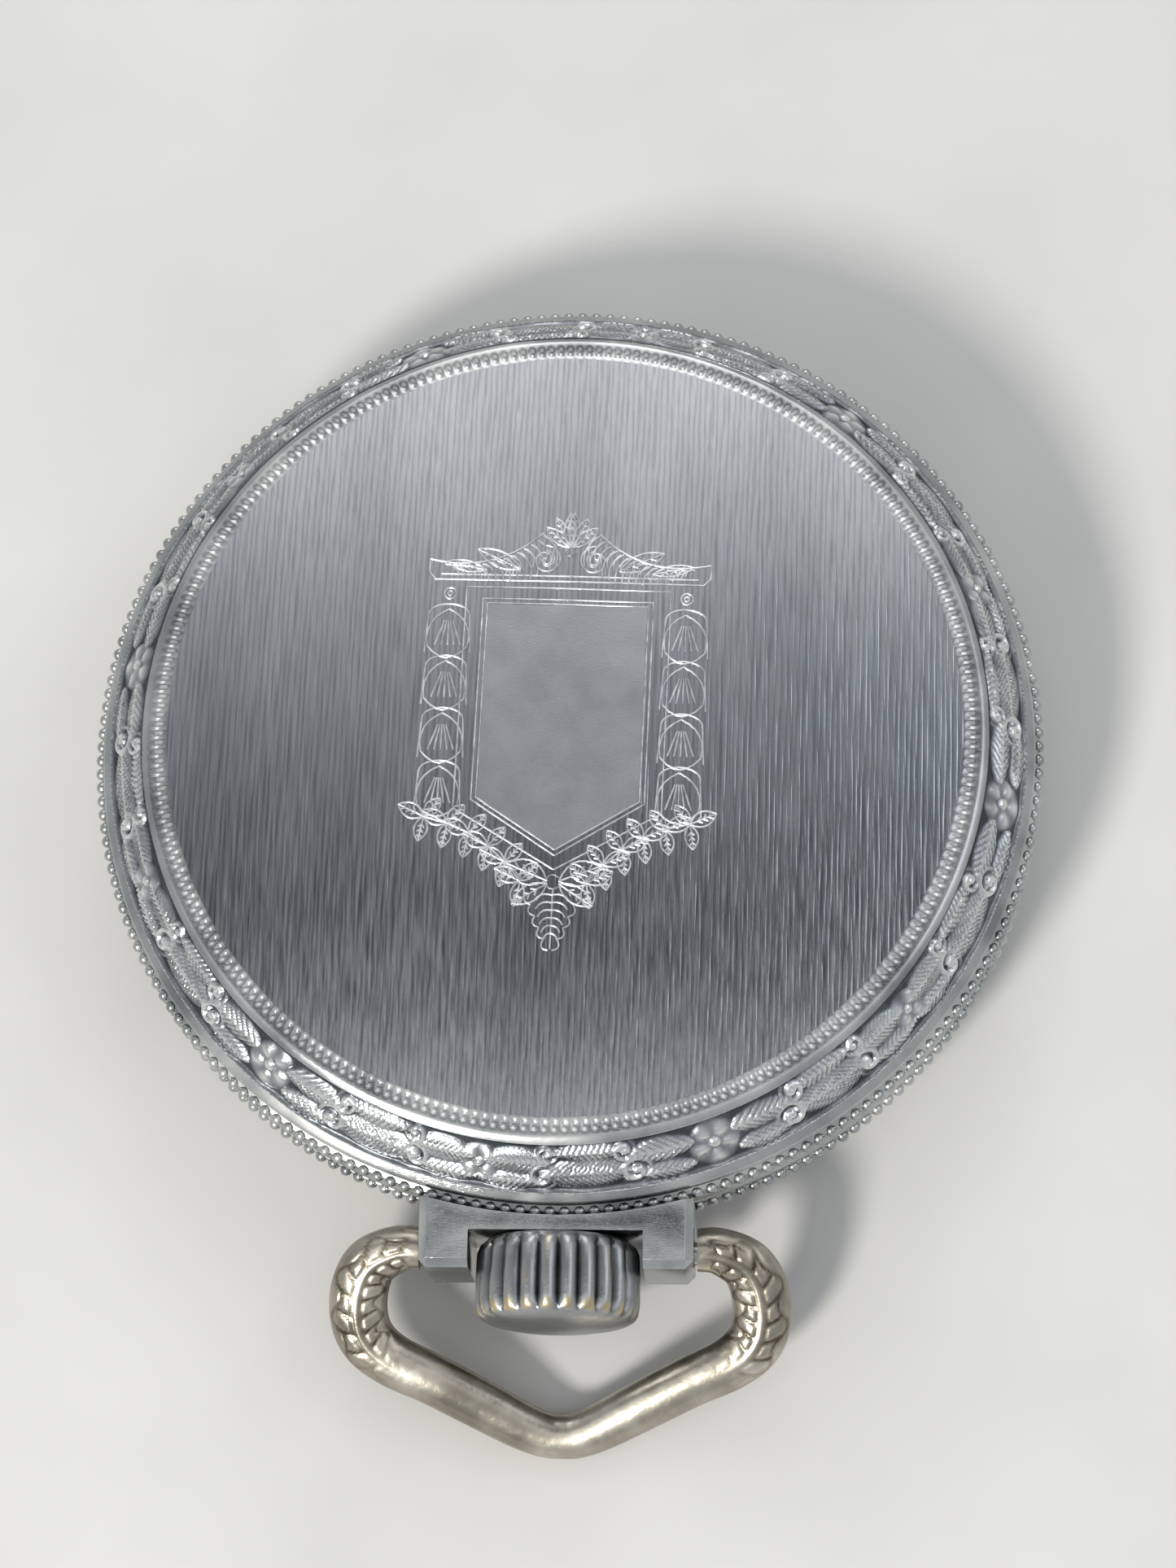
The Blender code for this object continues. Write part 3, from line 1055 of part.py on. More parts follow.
def make_escape_wheel():
    openings = crossings(ESCAPE_AT, 0.28 * ESCAPE_RADIUS, 0.62 * ESCAPE_RADIUS, 4, 0.35)
    wheel = slab([escape_outline()] + openings, ESCAPE_WHEEL_LOW, ESCAPE_WHEEL_HIGH)
    leaves = pinion_outline(ESCAPE_AT, ESCAPE_LEAVES, ESCAPE_MODULE, ESCAPE_LEAF_PHASE)
    pinion = slab([leaves], FOURTH_WHEEL_LOW - 0.15, FOURTH_WHEEL_LOW + 0.4)
    shaft = arbor(PLATE_LOW + 0.5, BRIDGE_HIGH - 0.1, PLATE_HIGH + 0.1, BRIDGE_LOW + 0.02, ESCAPE_AT)
    finish("escape_wheel", joined(wheel, pinion, shaft), "polished_steel", ESCAPE_AT)


# ---------------------------------------------------------------- escapement and balance


def on_fork(along, aside):
    """A place in plan, measured from the pallet arbor along and across the fork's line."""
    across = Vector((-LINE_OF_FORK.y, LINE_OF_FORK.x))
    return PALLET_AT + LINE_OF_FORK * along + across * aside


def make_pallet_fork():
    """The lever: two pallet arms by the escape wheel, and the slotted fork by the roller."""
    reach = (BALANCE_AT - PALLET_AT).length - 0.75
    side = [
        (reach - 0.36, 0.17), (reach, 0.17), (reach, 0.42), (reach - 0.45, 0.42), (reach - 0.8, 0.2), (0.6, 0.27),
        (-0.2, 1.1), (-0.35, 2.15), (-0.85, 2.15), (-0.6, 1.45), (-0.4, 0.5),
    ]
    outline = [on_fork(u, v) for u, v in side] + [on_fork(u, -v) for u, v in reversed(side)]
    body = slab([outline], ESCAPE_WHEEL_LOW, ESCAPE_WHEEL_HIGH)
    shaft = arbor(
        PLATE_LOW + 0.5, PALLET_COCK_HIGH - 0.1, PLATE_HIGH + 0.1, PALLET_COCK_LOW - 0.05, PALLET_AT, 0.25
    )
    finish("pallet_fork", joined(body, shaft), "polished_steel", PALLET_AT)


def make_balance_wheel():
    """The balance: a deep rim on two thin arms."""
    rim_inside = BALANCE_RADIUS - 0.7
    rim_edges = [circle(BALANCE_RADIUS, 36, BALANCE_AT), circle(rim_inside, 36, BALANCE_AT)]
    rim = slab(rim_edges, BALANCE_LOW, BALANCE_HIGH)
    middle = (BALANCE_LOW + BALANCE_HIGH) / 2
    left = BALANCE_AT + Vector((-rim_inside - 0.3, 0))
    right = BALANCE_AT + Vector((rim_inside + 0.3, 0))
    arms = [left + Vector((0, -0.45)), BALANCE_AT + Vector((-0.9, -0.45))]
    arms += arc(1.0, 207, 333, 4, BALANCE_AT) + [BALANCE_AT + Vector((0.9, -0.45)), right + Vector((0, -0.45))]
    upper = [right + Vector((0, 0.45)), BALANCE_AT + Vector((0.9, 0.45))] + arc(1.0, 27, 153, 4, BALANCE_AT)
    upper += [BALANCE_AT + Vector((-0.9, 0.45)), left + Vector((0, 0.45))]
    bar = slab([arms + upper, circle(0.46, 12, BALANCE_AT)], middle - 0.12, middle + 0.12)
    finish("balance_wheel", joined(rim, bar), "gilt_brass", BALANCE_AT)


def make_balance_staff():
    """The staff with its roller and impulse pin."""
    middle = (BALANCE_LOW + BALANCE_HIGH) / 2
    roller_low = ESCAPE_WHEEL_HIGH + 0.2
    roller_high = roller_low + 0.25
    profile = [
        (0, PLATE_LOW + 0.5), (PIVOT_RADIUS, PLATE_LOW + 0.5), (PIVOT_RADIUS, PLATE_HIGH + 0.1),
        (0.28, PLATE_HIGH + 0.1), (0.28, roller_low), (1.3, roller_low), (1.3, roller_high), (0.6, roller_high),
        (0.6, middle - 0.14), (0.4, middle - 0.14), (0.4, COCK_LOW - 0.1), (PIVOT_RADIUS, COCK_LOW - 0.1),
        (PIVOT_RADIUS, COCK_HIGH - 0.2), (0, COCK_HIGH - 0.2),
    ]
    toward = -LINE_OF_FORK
    pin = rod(0.14, ESCAPE_WHEEL_HIGH + 0.06, roller_low + 0.1, 8, BALANCE_AT + toward * 0.95)
    finish("balance_staff", joined(turned(profile, 12, BALANCE_AT), pin), "polished_steel", BALANCE_AT)


HAIRSPRING_RADIUS = 4.2
STUD_AT = BALANCE_AT + Vector((0, -HAIRSPRING_RADIUS - 0.4))


def make_hairspring():
    """The flat balance spring, its outer end just inside the stud."""
    bm = spiral(BALANCE_AT, 0.75, HAIRSPRING_RADIUS, 7.75, 0.09, HAIRSPRING_LOW, HAIRSPRING_HIGH, 100)
    finish("hairspring", bm, "blued_steel", BALANCE_AT)


def make_hairspring_stud():
    stud = rod(0.28, HAIRSPRING_LOW - 0.05, COCK_LOW - SEAT, 8, STUD_AT)
    finish("hairspring_stud", stud, "polished_steel", STUD_AT)


def make_regulator():
    """The index: a ring round the cap jewel with a pointer and a tail."""
    inner = circle(0.95, 12, BALANCE_AT)
    pointer = BALANCE_AT + Vector((0, -5.2))
    ring = slab([circle(1.6, 16, BALANCE_AT), inner], REGULATOR_LOW, REGULATOR_HIGH)
    start = BALANCE_AT + Vector((0, -1.3))
    arm = slab([capsule(start, pointer, 0.4, 0.12, 4)], REGULATOR_LOW, REGULATOR_HIGH)
    finish("regulator", joined(ring, arm), "polished_steel", BALANCE_AT)


# ---------------------------------------------------------------- motion work, dial and hands

CANNON_MODULE = module_of(CENTRE_AT, MINUTE_WHEEL_AT, CANNON_LEAVES, MINUTE_TEETH)
HOUR_MODULE = module_of(MINUTE_WHEEL_AT, CENTRE_AT, MINUTE_LEAVES, HOUR_TEETH)
MINUTE_PHASE = phase_to_mesh(CENTRE_AT, CANNON_LEAVES, 0.0, MINUTE_WHEEL_AT, MINUTE_TEETH)
MINUTE_LEAF_PHASE = phase_to_mesh(CENTRE_AT, HOUR_TEETH, 0.0, MINUTE_WHEEL_AT, MINUTE_LEAVES)
SETTING_MODULE = module_of(MINUTE_WHEEL_AT, SETTING_WHEEL_AT, MINUTE_TEETH, SETTING_TEETH)
SETTING_PHASE = phase_to_mesh(MINUTE_WHEEL_AT, MINUTE_TEETH, MINUTE_PHASE, SETTING_WHEEL_AT, SETTING_TEETH)
MINUTE_WHEEL_LOW = PLATE_LOW - 0.4
HOUR_WHEEL_LOW = DIAL_HIGH + 0.1


def make_cannon_pinion():
    """The tube on the centre arbor that carries the minute hand."""
    leaves = pinion_outline(CENTRE_AT, CANNON_LEAVES, CANNON_MODULE, 0.0)
    bore = circle(CENTRE_ARBOR + 0.06, 12)
    pinion = slab([leaves, bore], MINUTE_WHEEL_LOW - 0.05, PLATE_LOW - 0.1)
    inside = CENTRE_ARBOR + 0.06
    tube = [
        (inside, MINUTE_HAND_LOW - 0.05), (0.55, MINUTE_HAND_LOW - 0.05), (0.55, MINUTE_HAND_LOW + HAND_THICKNESS + 0.02),
        (0.7, MINUTE_HAND_LOW + HAND_THICKNESS + 0.02), (0.7, MINUTE_WHEEL_LOW), (inside, MINUTE_WHEEL_LOW),
    ]
    finish("cannon_pinion", joined(pinion, turned(tube, 12)), "polished_steel", CENTRE_AT)


def make_minute_wheel():
    rim = wheel_outline(MINUTE_WHEEL_AT, MINUTE_TEETH, CANNON_MODULE, MINUTE_PHASE)
    bore = circle(0.52, 10, MINUTE_WHEEL_AT)
    wheel = slab([rim, bore], MINUTE_WHEEL_LOW, MINUTE_WHEEL_LOW + WHEEL_THICKNESS)
    leaves = pinion_outline(MINUTE_WHEEL_AT, MINUTE_LEAVES, HOUR_MODULE, MINUTE_LEAF_PHASE)
    pinion = slab([leaves, bore], HOUR_WHEEL_LOW, MINUTE_WHEEL_LOW + 0.05)
    finish("minute_wheel", joined(wheel, pinion), "gilt_brass", MINUTE_WHEEL_AT)


def make_hour_wheel():
    """The hour wheel on its pipe round the cannon pinion."""
    rim = wheel_outline(CENTRE_AT, HOUR_TEETH, HOUR_MODULE, 0.0)
    high = HOUR_WHEEL_LOW + WHEEL_THICKNESS
    wheel = slab([rim, circle(0.8, 12)], HOUR_WHEEL_LOW, high)
    pipe = [(0.8, HOUR_HAND_LOW - 0.05), (1.08, HOUR_HAND_LOW - 0.05), (1.08, high - 0.02), (0.8, high - 0.02)]
    finish("hour_wheel", joined(wheel, turned(pipe, 12)), "gilt_brass", CENTRE_AT)


def make_setting_wheel():
    """The idle wheel between the minute wheel and the clutch."""
    rim = wheel_outline(SETTING_WHEEL_AT, SETTING_TEETH, SETTING_MODULE, SETTING_PHASE)
    outlines = [rim, circle(0.52, 10, SETTING_WHEEL_AT)]
    wheel = slab(outlines, MINUTE_WHEEL_LOW, MINUTE_WHEEL_LOW + WHEEL_THICKNESS)
    finish("setting_wheel", wheel, "polished_steel", SETTING_WHEEL_AT)


def make_dial():
    holes = [circle(1.5, 12), circle(0.45, 8, FOURTH_AT)]
    finish("dial", slab([circle(DIAL_RADIUS, CASE_STEPS)] + holes, DIAL_LOW, DIAL_HIGH), "dial_enamel")


def hand(name, centre, clockwise, low, length, tail, boss, bore, width):
    """A spade-tipped hand: a boss on its arbor, a tapered arm and a short tail."""
    bearing = radians(clockwise) - pi / 2
    along = Vector((cos(bearing), sin(bearing)))
    across = Vector((-along.y, along.x))
    side = [(-tail, 0.7 * width), (boss, 0.5 * width), (0.66 * length, 0.4 * width), (0.74 * length, 1.5 * width)]
    side += [(0.8 * length, 1.3 * width), (0.86 * length, 0.35 * width), (length, 0.1 * width)]
    outline = [centre + along * u + across * v for u, v in side]
    outline += [centre + along * u - across * v for u, v in reversed(side)]
    arm = slab([outline], low, low + HAND_THICKNESS)
    hub = rod(boss, low, low + HAND_THICKNESS, 16, centre)
    through = rod(bore, low - 1, low + 1, 12, centre)
    finish(name, cut(joined(arm, hub), through), "blued_steel", centre)


def make_hands():
    dial_edge = DIAL_VIEW - 1.2
    hand("minute_hand", CENTRE_AT, MINUTE_ANGLE, MINUTE_HAND_LOW, dial_edge - 1.5, 2.2, 1.0, 0.6, 0.55)
    hand("hour_hand", CENTRE_AT, HOUR_ANGLE, HOUR_HAND_LOW, 0.62 * dial_edge, 1.9, 1.7, 1.14, 0.85)
    hand("seconds_hand", FOURTH_AT, SECONDS_ANGLE, SECONDS_HAND_LOW, 0.19 * dial_edge, 1.4, 0.45, 0.2, 0.18)


def clear_scene():
    for obj in list(bpy.data.objects):
        bpy.data.objects.remove(obj)


def main():
    clear_scene()
    make_case_band()
    make_back_cover()
    make_bezel()
    make_crystal()
    make_pendant()
    make_pendant_sleeve()
    make_bow()
    make_crown()
    make_winding_stem()
    make_winding_pinion()
    make_clutch_wheel()
    make_levers()
    make_crown_wheel()
    make_ratchet_wheel()
    make_click()
    make_click_spring()
    make_main_plate()
    make_barrel_bridge()
    make_train_bridge()
    make_balance_cock()
    make_pallet_cock()
    make_screws()
    make_jewels()
    make_barrel()
    make_barrel_cover()
    make_mainspring()
    make_barrel_arbor()
    make_centre_wheel()
    make_third_wheel()
    make_fourth_wheel()
    make_escape_wheel()
    make_pallet_fork()
    make_balance_wheel()
    make_balance_staff()
    make_hairspring()
    make_hairspring_stud()
    make_regulator()
    make_cannon_pinion()
    make_minute_wheel()
    make_hour_wheel()
    make_setting_wheel()
    make_dial()
    make_hands()


main()
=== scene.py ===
"""The looks of the fob watch: an engraved nickel case with a worn bow and crown, an enamel dial
and a nickel and gilt movement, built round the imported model."""

import json
from math import atan2, cos, exp, floor, hypot, pi, radians, sin

import bmesh
import bpy
from mathutils import Matrix, Vector


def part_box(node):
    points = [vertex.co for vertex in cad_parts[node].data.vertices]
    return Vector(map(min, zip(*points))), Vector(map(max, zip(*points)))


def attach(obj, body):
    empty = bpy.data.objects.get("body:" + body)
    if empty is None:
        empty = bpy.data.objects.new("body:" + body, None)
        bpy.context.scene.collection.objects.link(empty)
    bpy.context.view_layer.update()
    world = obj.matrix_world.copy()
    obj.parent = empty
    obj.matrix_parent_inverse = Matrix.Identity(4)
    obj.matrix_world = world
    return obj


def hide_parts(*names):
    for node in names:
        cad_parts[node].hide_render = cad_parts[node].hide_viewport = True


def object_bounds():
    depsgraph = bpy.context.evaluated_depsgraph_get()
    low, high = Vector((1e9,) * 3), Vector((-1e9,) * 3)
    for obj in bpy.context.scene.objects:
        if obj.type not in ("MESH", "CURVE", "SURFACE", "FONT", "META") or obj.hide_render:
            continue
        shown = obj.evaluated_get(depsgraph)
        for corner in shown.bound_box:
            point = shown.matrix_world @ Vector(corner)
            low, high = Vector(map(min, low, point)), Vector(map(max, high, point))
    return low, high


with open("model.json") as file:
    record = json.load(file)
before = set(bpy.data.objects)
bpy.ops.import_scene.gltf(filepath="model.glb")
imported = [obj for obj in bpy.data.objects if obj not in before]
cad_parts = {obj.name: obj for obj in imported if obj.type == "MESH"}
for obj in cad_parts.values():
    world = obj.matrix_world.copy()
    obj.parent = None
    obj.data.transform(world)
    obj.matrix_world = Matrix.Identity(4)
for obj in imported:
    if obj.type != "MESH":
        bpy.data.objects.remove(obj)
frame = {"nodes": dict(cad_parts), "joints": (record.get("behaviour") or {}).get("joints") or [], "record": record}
cad_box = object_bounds()
MM = 0.001

joint_at = {joint["name"]: Vector(joint["pos_m"]) / MM for joint in frame["joints"] if "pos_m" in joint}


def span(node):
    """A node's lowest and highest corners, in millimetres."""
    low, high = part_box(node)
    return low / MM, high / MM


# Driving sizes, in millimetres, from the frame.
BACK_LOW, BACK_TOP = span("back_cover")
CASE_R = BACK_TOP.x
RIM_Z = BACK_LOW.z
BEZEL_LOW, BEZEL_TOP = span("bezel")
BAND_LOW, BAND_TOP = span("case_band")
DIAL_LOW, DIAL_TOP = span("dial")
STEM_Z = joint_at["winding_turn"].z
BOW_AT = joint_at["bow_swing"]

# The back's surface, from its bead rim to its middle.
FIELD_R = CASE_R - 3.3
FIELD_EDGE_Z = BACK_TOP.z - 0.85
FIELD_RISE = 0.85
SLOPE_OUT_R = CASE_R - 0.8
SLOPE_OUT_Z = RIM_Z + 1.5
SLOPE_IN_R = FIELD_R + 0.45
SLOPE_IN_Z = FIELD_EDGE_Z - 0.2
BEADS = 206
TICKS = 260
BEAD_R = 0.34
RELIEF = 0.26

# The shield lies a little off the pendant's axis.
SHIELD_TURN = radians(-1.8)


# ---------------------------------------------------------------- mesh helpers


def object_from(name, bm, body, material, replaced=(), sharp=35):
    """Turn a shape in millimetres into a finished piece that rides on a body."""
    bmesh.ops.remove_doubles(bm, verts=bm.verts[:], dist=0.0008)
    bmesh.ops.recalc_face_normals(bm, faces=bm.faces[:])
    bmesh.ops.scale(bm, verts=bm.verts[:], vec=(MM, MM, MM))
    mesh = bpy.data.meshes.new(name)
    bm.to_mesh(mesh)
    bm.free()
    mesh.shade_smooth()
    mesh.set_sharp_from_angle(angle=radians(sharp))
    mesh.materials.append(material)
    obj = bpy.data.objects.new(name, mesh)
    bpy.context.scene.collection.objects.link(obj)
    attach(obj, body)
    if replaced:
        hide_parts(*replaced)
    return obj


def spun(profile, steps, closed=True):
    """A profile of (radius, height) turned round the Z axis."""
    bm = bmesh.new()
    corners = [bm.verts.new((r, 0, z)) for r, z in profile]
    for first, second in zip(corners, corners[1:]):
        bm.edges.new((first, second))
    if closed and profile[0][0] > 0 and profile[-1][0] > 0:
        bm.edges.new((corners[-1], corners[0]))
    parts = bm.verts[:] + bm.edges[:]
    bmesh.ops.spin(bm, geom=parts, axis=(0, 0, 1), cent=(0, 0, 0), angle=2 * pi, steps=steps, use_merge=True)
    bmesh.ops.remove_doubles(bm, verts=bm.verts[:], dist=0.0005)
    return bm


def swept(rings):
    """A closed skin over rings: the first is a capped circle, the others are extruded from it."""
    bm = bmesh.new()
    sides = len(rings[0])
    corners = [bm.verts.new(point) for point in rings[0]]
    first = bm.faces.new(corners)
    loop = corners
    for ring in rings[1:]:
        edges = [bm.edges.get((loop[i], loop[(i + 1) % sides])) for i in range(sides)]
        grown = bmesh.ops.extrude_edge_only(bm, edges=edges)
        fresh = {v for v in grown["geom"] if isinstance(v, bmesh.types.BMVert)}
        following = []
        for old in loop:
            new = next(e.other_vert(old) for e in old.link_edges if e.other_vert(old) in fresh)
            following.append(new)
        for new, point in zip(following, ring):
            new.co = point
        loop = following
    bm.faces.new(loop[::-1])
    bmesh.ops.triangulate(bm, faces=[f for f in bm.faces if len(f.verts) > 4])
    return bm


def smoothstep(low, high, value):
    t = min(1.0, max(0.0, (value - low) / (high - low)))
    return t * t * (3 - 2 * t)


def bead_row(name, radius, height, body, material):
    """A row of cast beads round the case."""
    bm = bmesh.new()
    for i in range(BEADS):
        angle = 2 * pi * i / BEADS
        place = Matrix.Translation((radius * cos(angle), radius * sin(angle), height))
        bmesh.ops.create_icosphere(bm, subdivisions=2, radius=BEAD_R, matrix=place)
    return object_from(name, bm, body, material, sharp=80)


# ---------------------------------------------------------------- materials


def linear(hex_colour):
    """An sRGB hex colour as linear values."""
    parts = [int(hex_colour[i : i + 2], 16) / 255 for i in (1, 3, 5)]
    return [c / 12.92 if c <= 0.04045 else ((c + 0.055) / 1.055) ** 2.4 for c in parts] + [1.0]


def add(tree, kind, links=None, **settings):
    """Add a node, set its properties and sockets, and link its inputs."""
    node = tree.nodes.new(kind)
    for key, value in settings.items():
        if hasattr(node, key):
            setattr(node, key, value)
        else:
            node.inputs[key.replace("_", " ")].default_value = value
    for key, source in (links or {}).items():
        tree.links.new(source, node.inputs[key])
    return node


def ramp(tree, source, *stops):
    """A colour ramp through (place, sRGB hex) stops."""
    node = add(tree, "ShaderNodeValToRGB", {"Fac": source})
    while len(node.color_ramp.elements) < len(stops):
        node.color_ramp.elements.new(0.5)
    for element, (place, colour) in zip(node.color_ramp.elements, stops):
        element.position = place
        element.color = linear(colour)
    return node.outputs["Color"]


def spread(tree, source, low, high, out_low, out_high):
    """Map a value from one range to another."""
    node = add(tree, "ShaderNodeMapRange", {"Value": source})
    for key, value in zip(("From Min", "From Max", "To Min", "To Max"), (low, high, out_low, out_high)):
        node.inputs[key].default_value = value
    return node.outputs["Result"]


def shader_for(name, metallic, roughness):
    """A new material, its tree, its shader and its object coordinates in millimetres."""
    material = bpy.data.materials.new(name)
    material.use_nodes = True
    tree = material.node_tree
    shader = tree.nodes["Principled BSDF"]
    shader.inputs["Metallic"].default_value = metallic
    shader.inputs["Roughness"].default_value = roughness
    where = add(tree, "ShaderNodeTexCoord").outputs["Object"]
    in_mm = add(tree, "ShaderNodeMapping", {"Vector": where})
    in_mm.inputs["Scale"].default_value = (1 / MM, 1 / MM, 1 / MM)
    return material, tree, shader, in_mm.outputs["Vector"]


def noise(tree, where, scale, detail=4.0, stretch=None, turn=0.0):
    """Noise with features about 1/scale mm across, stretched along an axis if asked."""
    if stretch:
        mapping = add(tree, "ShaderNodeMapping", {"Vector": where})
        mapping.inputs["Scale"].default_value = stretch
        mapping.inputs["Rotation"].default_value = (0, 0, turn)
        where = mapping.outputs["Vector"]
    node = add(tree, "ShaderNodeTexNoise", {"Vector": where}, Scale=scale, Detail=detail)
    return node.outputs["Fac"]


def bump(tree, shader, height, depth_mm, strength=1.0, under=None):
    """Raise the surface by up to depth_mm where height is 1."""
    links = {"Height": height}
    if under:
        links["Normal"] = under
    node = add(tree, "ShaderNodeBump", links, Strength=strength, Distance=depth_mm * MM)
    tree.links.new(node.outputs["Normal"], shader.inputs["Normal"])
    return node.outputs["Normal"]


def nickel_plate_polished():
    """Electroplated nickel, buffed: cool grey mirror with faint hairlines and handling haze."""
    material, tree, shader, where = shader_for("nickel_plate_polished", 1.0, 0.2)
    haze = noise(tree, where, 0.25, 6.0)
    colour = ramp(tree, haze, (0.3, "#8b8f90"), (0.5, "#aeb1b1"), (0.72, "#c6c7c5"))
    tree.links.new(colour, shader.inputs["Base Color"])
    tree.links.new(spread(tree, haze, 0.3, 0.75, 0.16, 0.34), shader.inputs["Roughness"])
    hairlines = noise(tree, where, 3.0, 3.0, (1.0, 12.0, 1.0), 0.7)
    bump(tree, shader, hairlines, 0.006)
    return material


def nickel_plate_chased():
    """Die-struck relief under worn nickel: dark oxide in the hollows, rubbed bright on the tops."""
    material, tree, shader, where = shader_for("nickel_plate_chased", 1.0, 0.3)
    depth = add(tree, "ShaderNodeAttribute", attribute_name="height").outputs["Fac"]
    grime = noise(tree, where, 0.7, 6.0)
    dirt = spread(tree, grime, 0.3, 0.7, -0.12, 0.12)
    level = add(tree, "ShaderNodeMath", {0: depth, 1: dirt}, operation="ADD")
    stops = ((0.0, "#4a4e52"), (0.25, "#80858a"), (0.55, "#b4b8ba"), (0.85, "#dcdedd"))
    colour = ramp(tree, level.outputs[0], *stops)
    tree.links.new(colour, shader.inputs["Base Color"])
    tree.links.new(spread(tree, level.outputs[0], 0.0, 0.8, 0.36, 0.18), shader.inputs["Roughness"])
    bump(tree, shader, noise(tree, where, 5.0, 5.0), 0.02)
    return material


def nickel_plate_engine_lined():
    """Nickel field ruled with fine parallel graver lines 0.3 mm apart, dulled and lightly scratched."""
    material, tree, shader, where = shader_for("nickel_plate_engine_lined", 1.0, 0.3)
    turned_by = add(tree, "ShaderNodeMapping", {"Vector": where})
    turned_by.inputs["Rotation"].default_value = (0, 0, -SHIELD_TURN)
    across = add(tree, "ShaderNodeSeparateXYZ", {"Vector": turned_by.outputs["Vector"]}).outputs["X"]
    wander = noise(tree, where, 3.0, 2.0, (1.0, 0.04, 1.0))
    lines = add(tree, "ShaderNodeMath", {0: across}, operation="MULTIPLY")
    lines.inputs[1].default_value = 2 * pi / 0.3
    drift = spread(tree, wander, 0, 1, -4, 4)
    shifted = add(tree, "ShaderNodeMath", {0: lines.outputs[0], 1: drift}, operation="ADD")
    wave = add(tree, "ShaderNodeMath", {0: shifted.outputs[0]}, operation="SINE").outputs[0]
    grain = noise(tree, where, 9.0, 4.0, (1.0, 0.03, 1.0))
    crest = spread(tree, wave, -1, 1, 0, 0.6)
    ridge = add(tree, "ShaderNodeMath", {0: crest, 1: grain}, operation="ADD").outputs[0]
    tarnish = noise(tree, where, 0.12, 3.0, (1.0, 0.25, 1.0))
    colour = ramp(tree, tarnish, (0.25, "#a9aeb2"), (0.5, "#babec1"), (0.78, "#c8cbcd"))
    shade = add(tree, "ShaderNodeMix", {6: colour}, data_type="RGBA", blend_type="MULTIPLY")
    shade.inputs[0].default_value = 0.5
    tree.links.new(ramp(tree, ridge, (0.2, "#8d9092"), (0.9, "#ffffff")), shade.inputs[7])
    tree.links.new(shade.outputs[2], shader.inputs["Base Color"])
    tree.links.new(spread(tree, grain, 0.3, 0.7, 0.17, 0.27), shader.inputs["Roughness"])
    bump(tree, shader, ridge, 0.018)
    return material


def nickel_plate_burnished():
    """Nickel rubbed smooth with a burnisher: even pale grey with faint handling scratches."""
    material, tree, shader, where = shader_for("nickel_plate_burnished", 1.0, 0.34)
    haze = noise(tree, where, 0.5, 4.0)
    tree.links.new(ramp(tree, haze, (0.3, "#a2a6a9"), (0.7, "#b4b7b9")), shader.inputs["Base Color"])
    bump(tree, shader, noise(tree, where, 4.0, 4.0, (1.0, 6.0, 1.0), 0.5), 0.006)
    return material


def nickel_plate_cut_line():
    """Bright-cut engraving: a graver's polished line, painted near white so that it flashes pale against the ruled
    field; the paleness is partly the polished nickel's own and partly a painted highlight for its flash.
    """
    material, tree, shader, where = shader_for("nickel_plate_cut_line", 1.0, 0.3)
    grime = noise(tree, where, 1.6, 4.0)
    # Painted highlight: the near white colour stands in for the cut's flash over polished nickel; the noise dulls it
    # in patches.
    tree.links.new(ramp(tree, grime, (0.35, "#b3b8bb"), (0.7, "#f0f2f2")), shader.inputs["Base Color"])
    return material


def nickel_plate_worn():
    """Nickel worn through on the high side to warm base metal, grimy in the engraving."""
    material, tree, shader, where = shader_for("nickel_plate_worn", 1.0, 0.3)
    depth = add(tree, "ShaderNodeAttribute", attribute_name="height").outputs["Fac"]
    patches = noise(tree, where, 0.3, 6.0)
    grit = noise(tree, where, 2.2, 5.0)
    warm = ramp(tree, patches, (0.32, "#8f897e"), (0.5, "#aaa498"), (0.68, "#c8c3b8"))
    shade = add(tree, "ShaderNodeMix", {6: warm}, data_type="RGBA", blend_type="MULTIPLY")
    shade.inputs[0].default_value = 1.0
    dirt = spread(tree, grit, 0.3, 0.7, -0.15, 0.15)
    level = add(tree, "ShaderNodeMath", {0: depth, 1: dirt}, operation="ADD")
    rubbed = ramp(tree, level.outputs[0], (0.05, "#6d675c"), (0.6, "#dedbd5"), (1.0, "#ffffff"))
    tree.links.new(rubbed, shade.inputs[7])
    tree.links.new(shade.outputs[2], shader.inputs["Base Color"])
    tree.links.new(spread(tree, patches, 0.3, 0.7, 0.22, 0.4), shader.inputs["Roughness"])
    bump(tree, shader, grit, 0.02)
    return material


def nickel_plate_crown():
    """The crown's plating: grey, with brass showing where fingers rub the flutes' ends."""
    material, tree, shader, where = shader_for("nickel_plate_crown", 1.0, 0.32)
    depth = add(tree, "ShaderNodeAttribute", attribute_name="height").outputs["Fac"]
    patches = noise(tree, where, 0.8, 5.0)
    wear = spread(tree, patches, 0.3, 0.7, -0.1, 0.12)
    level = add(tree, "ShaderNodeMath", {0: depth, 1: wear}, operation="ADD")
    stops = ((0.05, "#3d3a35"), (0.4, "#75777a"), (0.8, "#a3a5a6"), (1.0, "#b9ab8c"))
    colour = ramp(tree, level.outputs[0], *stops)
    tree.links.new(colour, shader.inputs["Base Color"])
    bump(tree, shader, noise(tree, where, 6.0, 4.0), 0.012)
    return material


def gilt_brass_frosted():
    """Fire-gilt brass: fine matt grain, warm yellow, a little darker in patches."""
    material, tree, shader, where = shader_for("gilt_brass_frosted", 1.0, 0.32)
    patches = noise(tree, where, 0.5, 5.0)
    tree.links.new(ramp(tree, patches, (0.3, "#a77f33"), (0.7, "#d3ac5c")), shader.inputs["Base Color"])
    bump(tree, shader, noise(tree, where, 14.0, 3.0), 0.006)
    return material


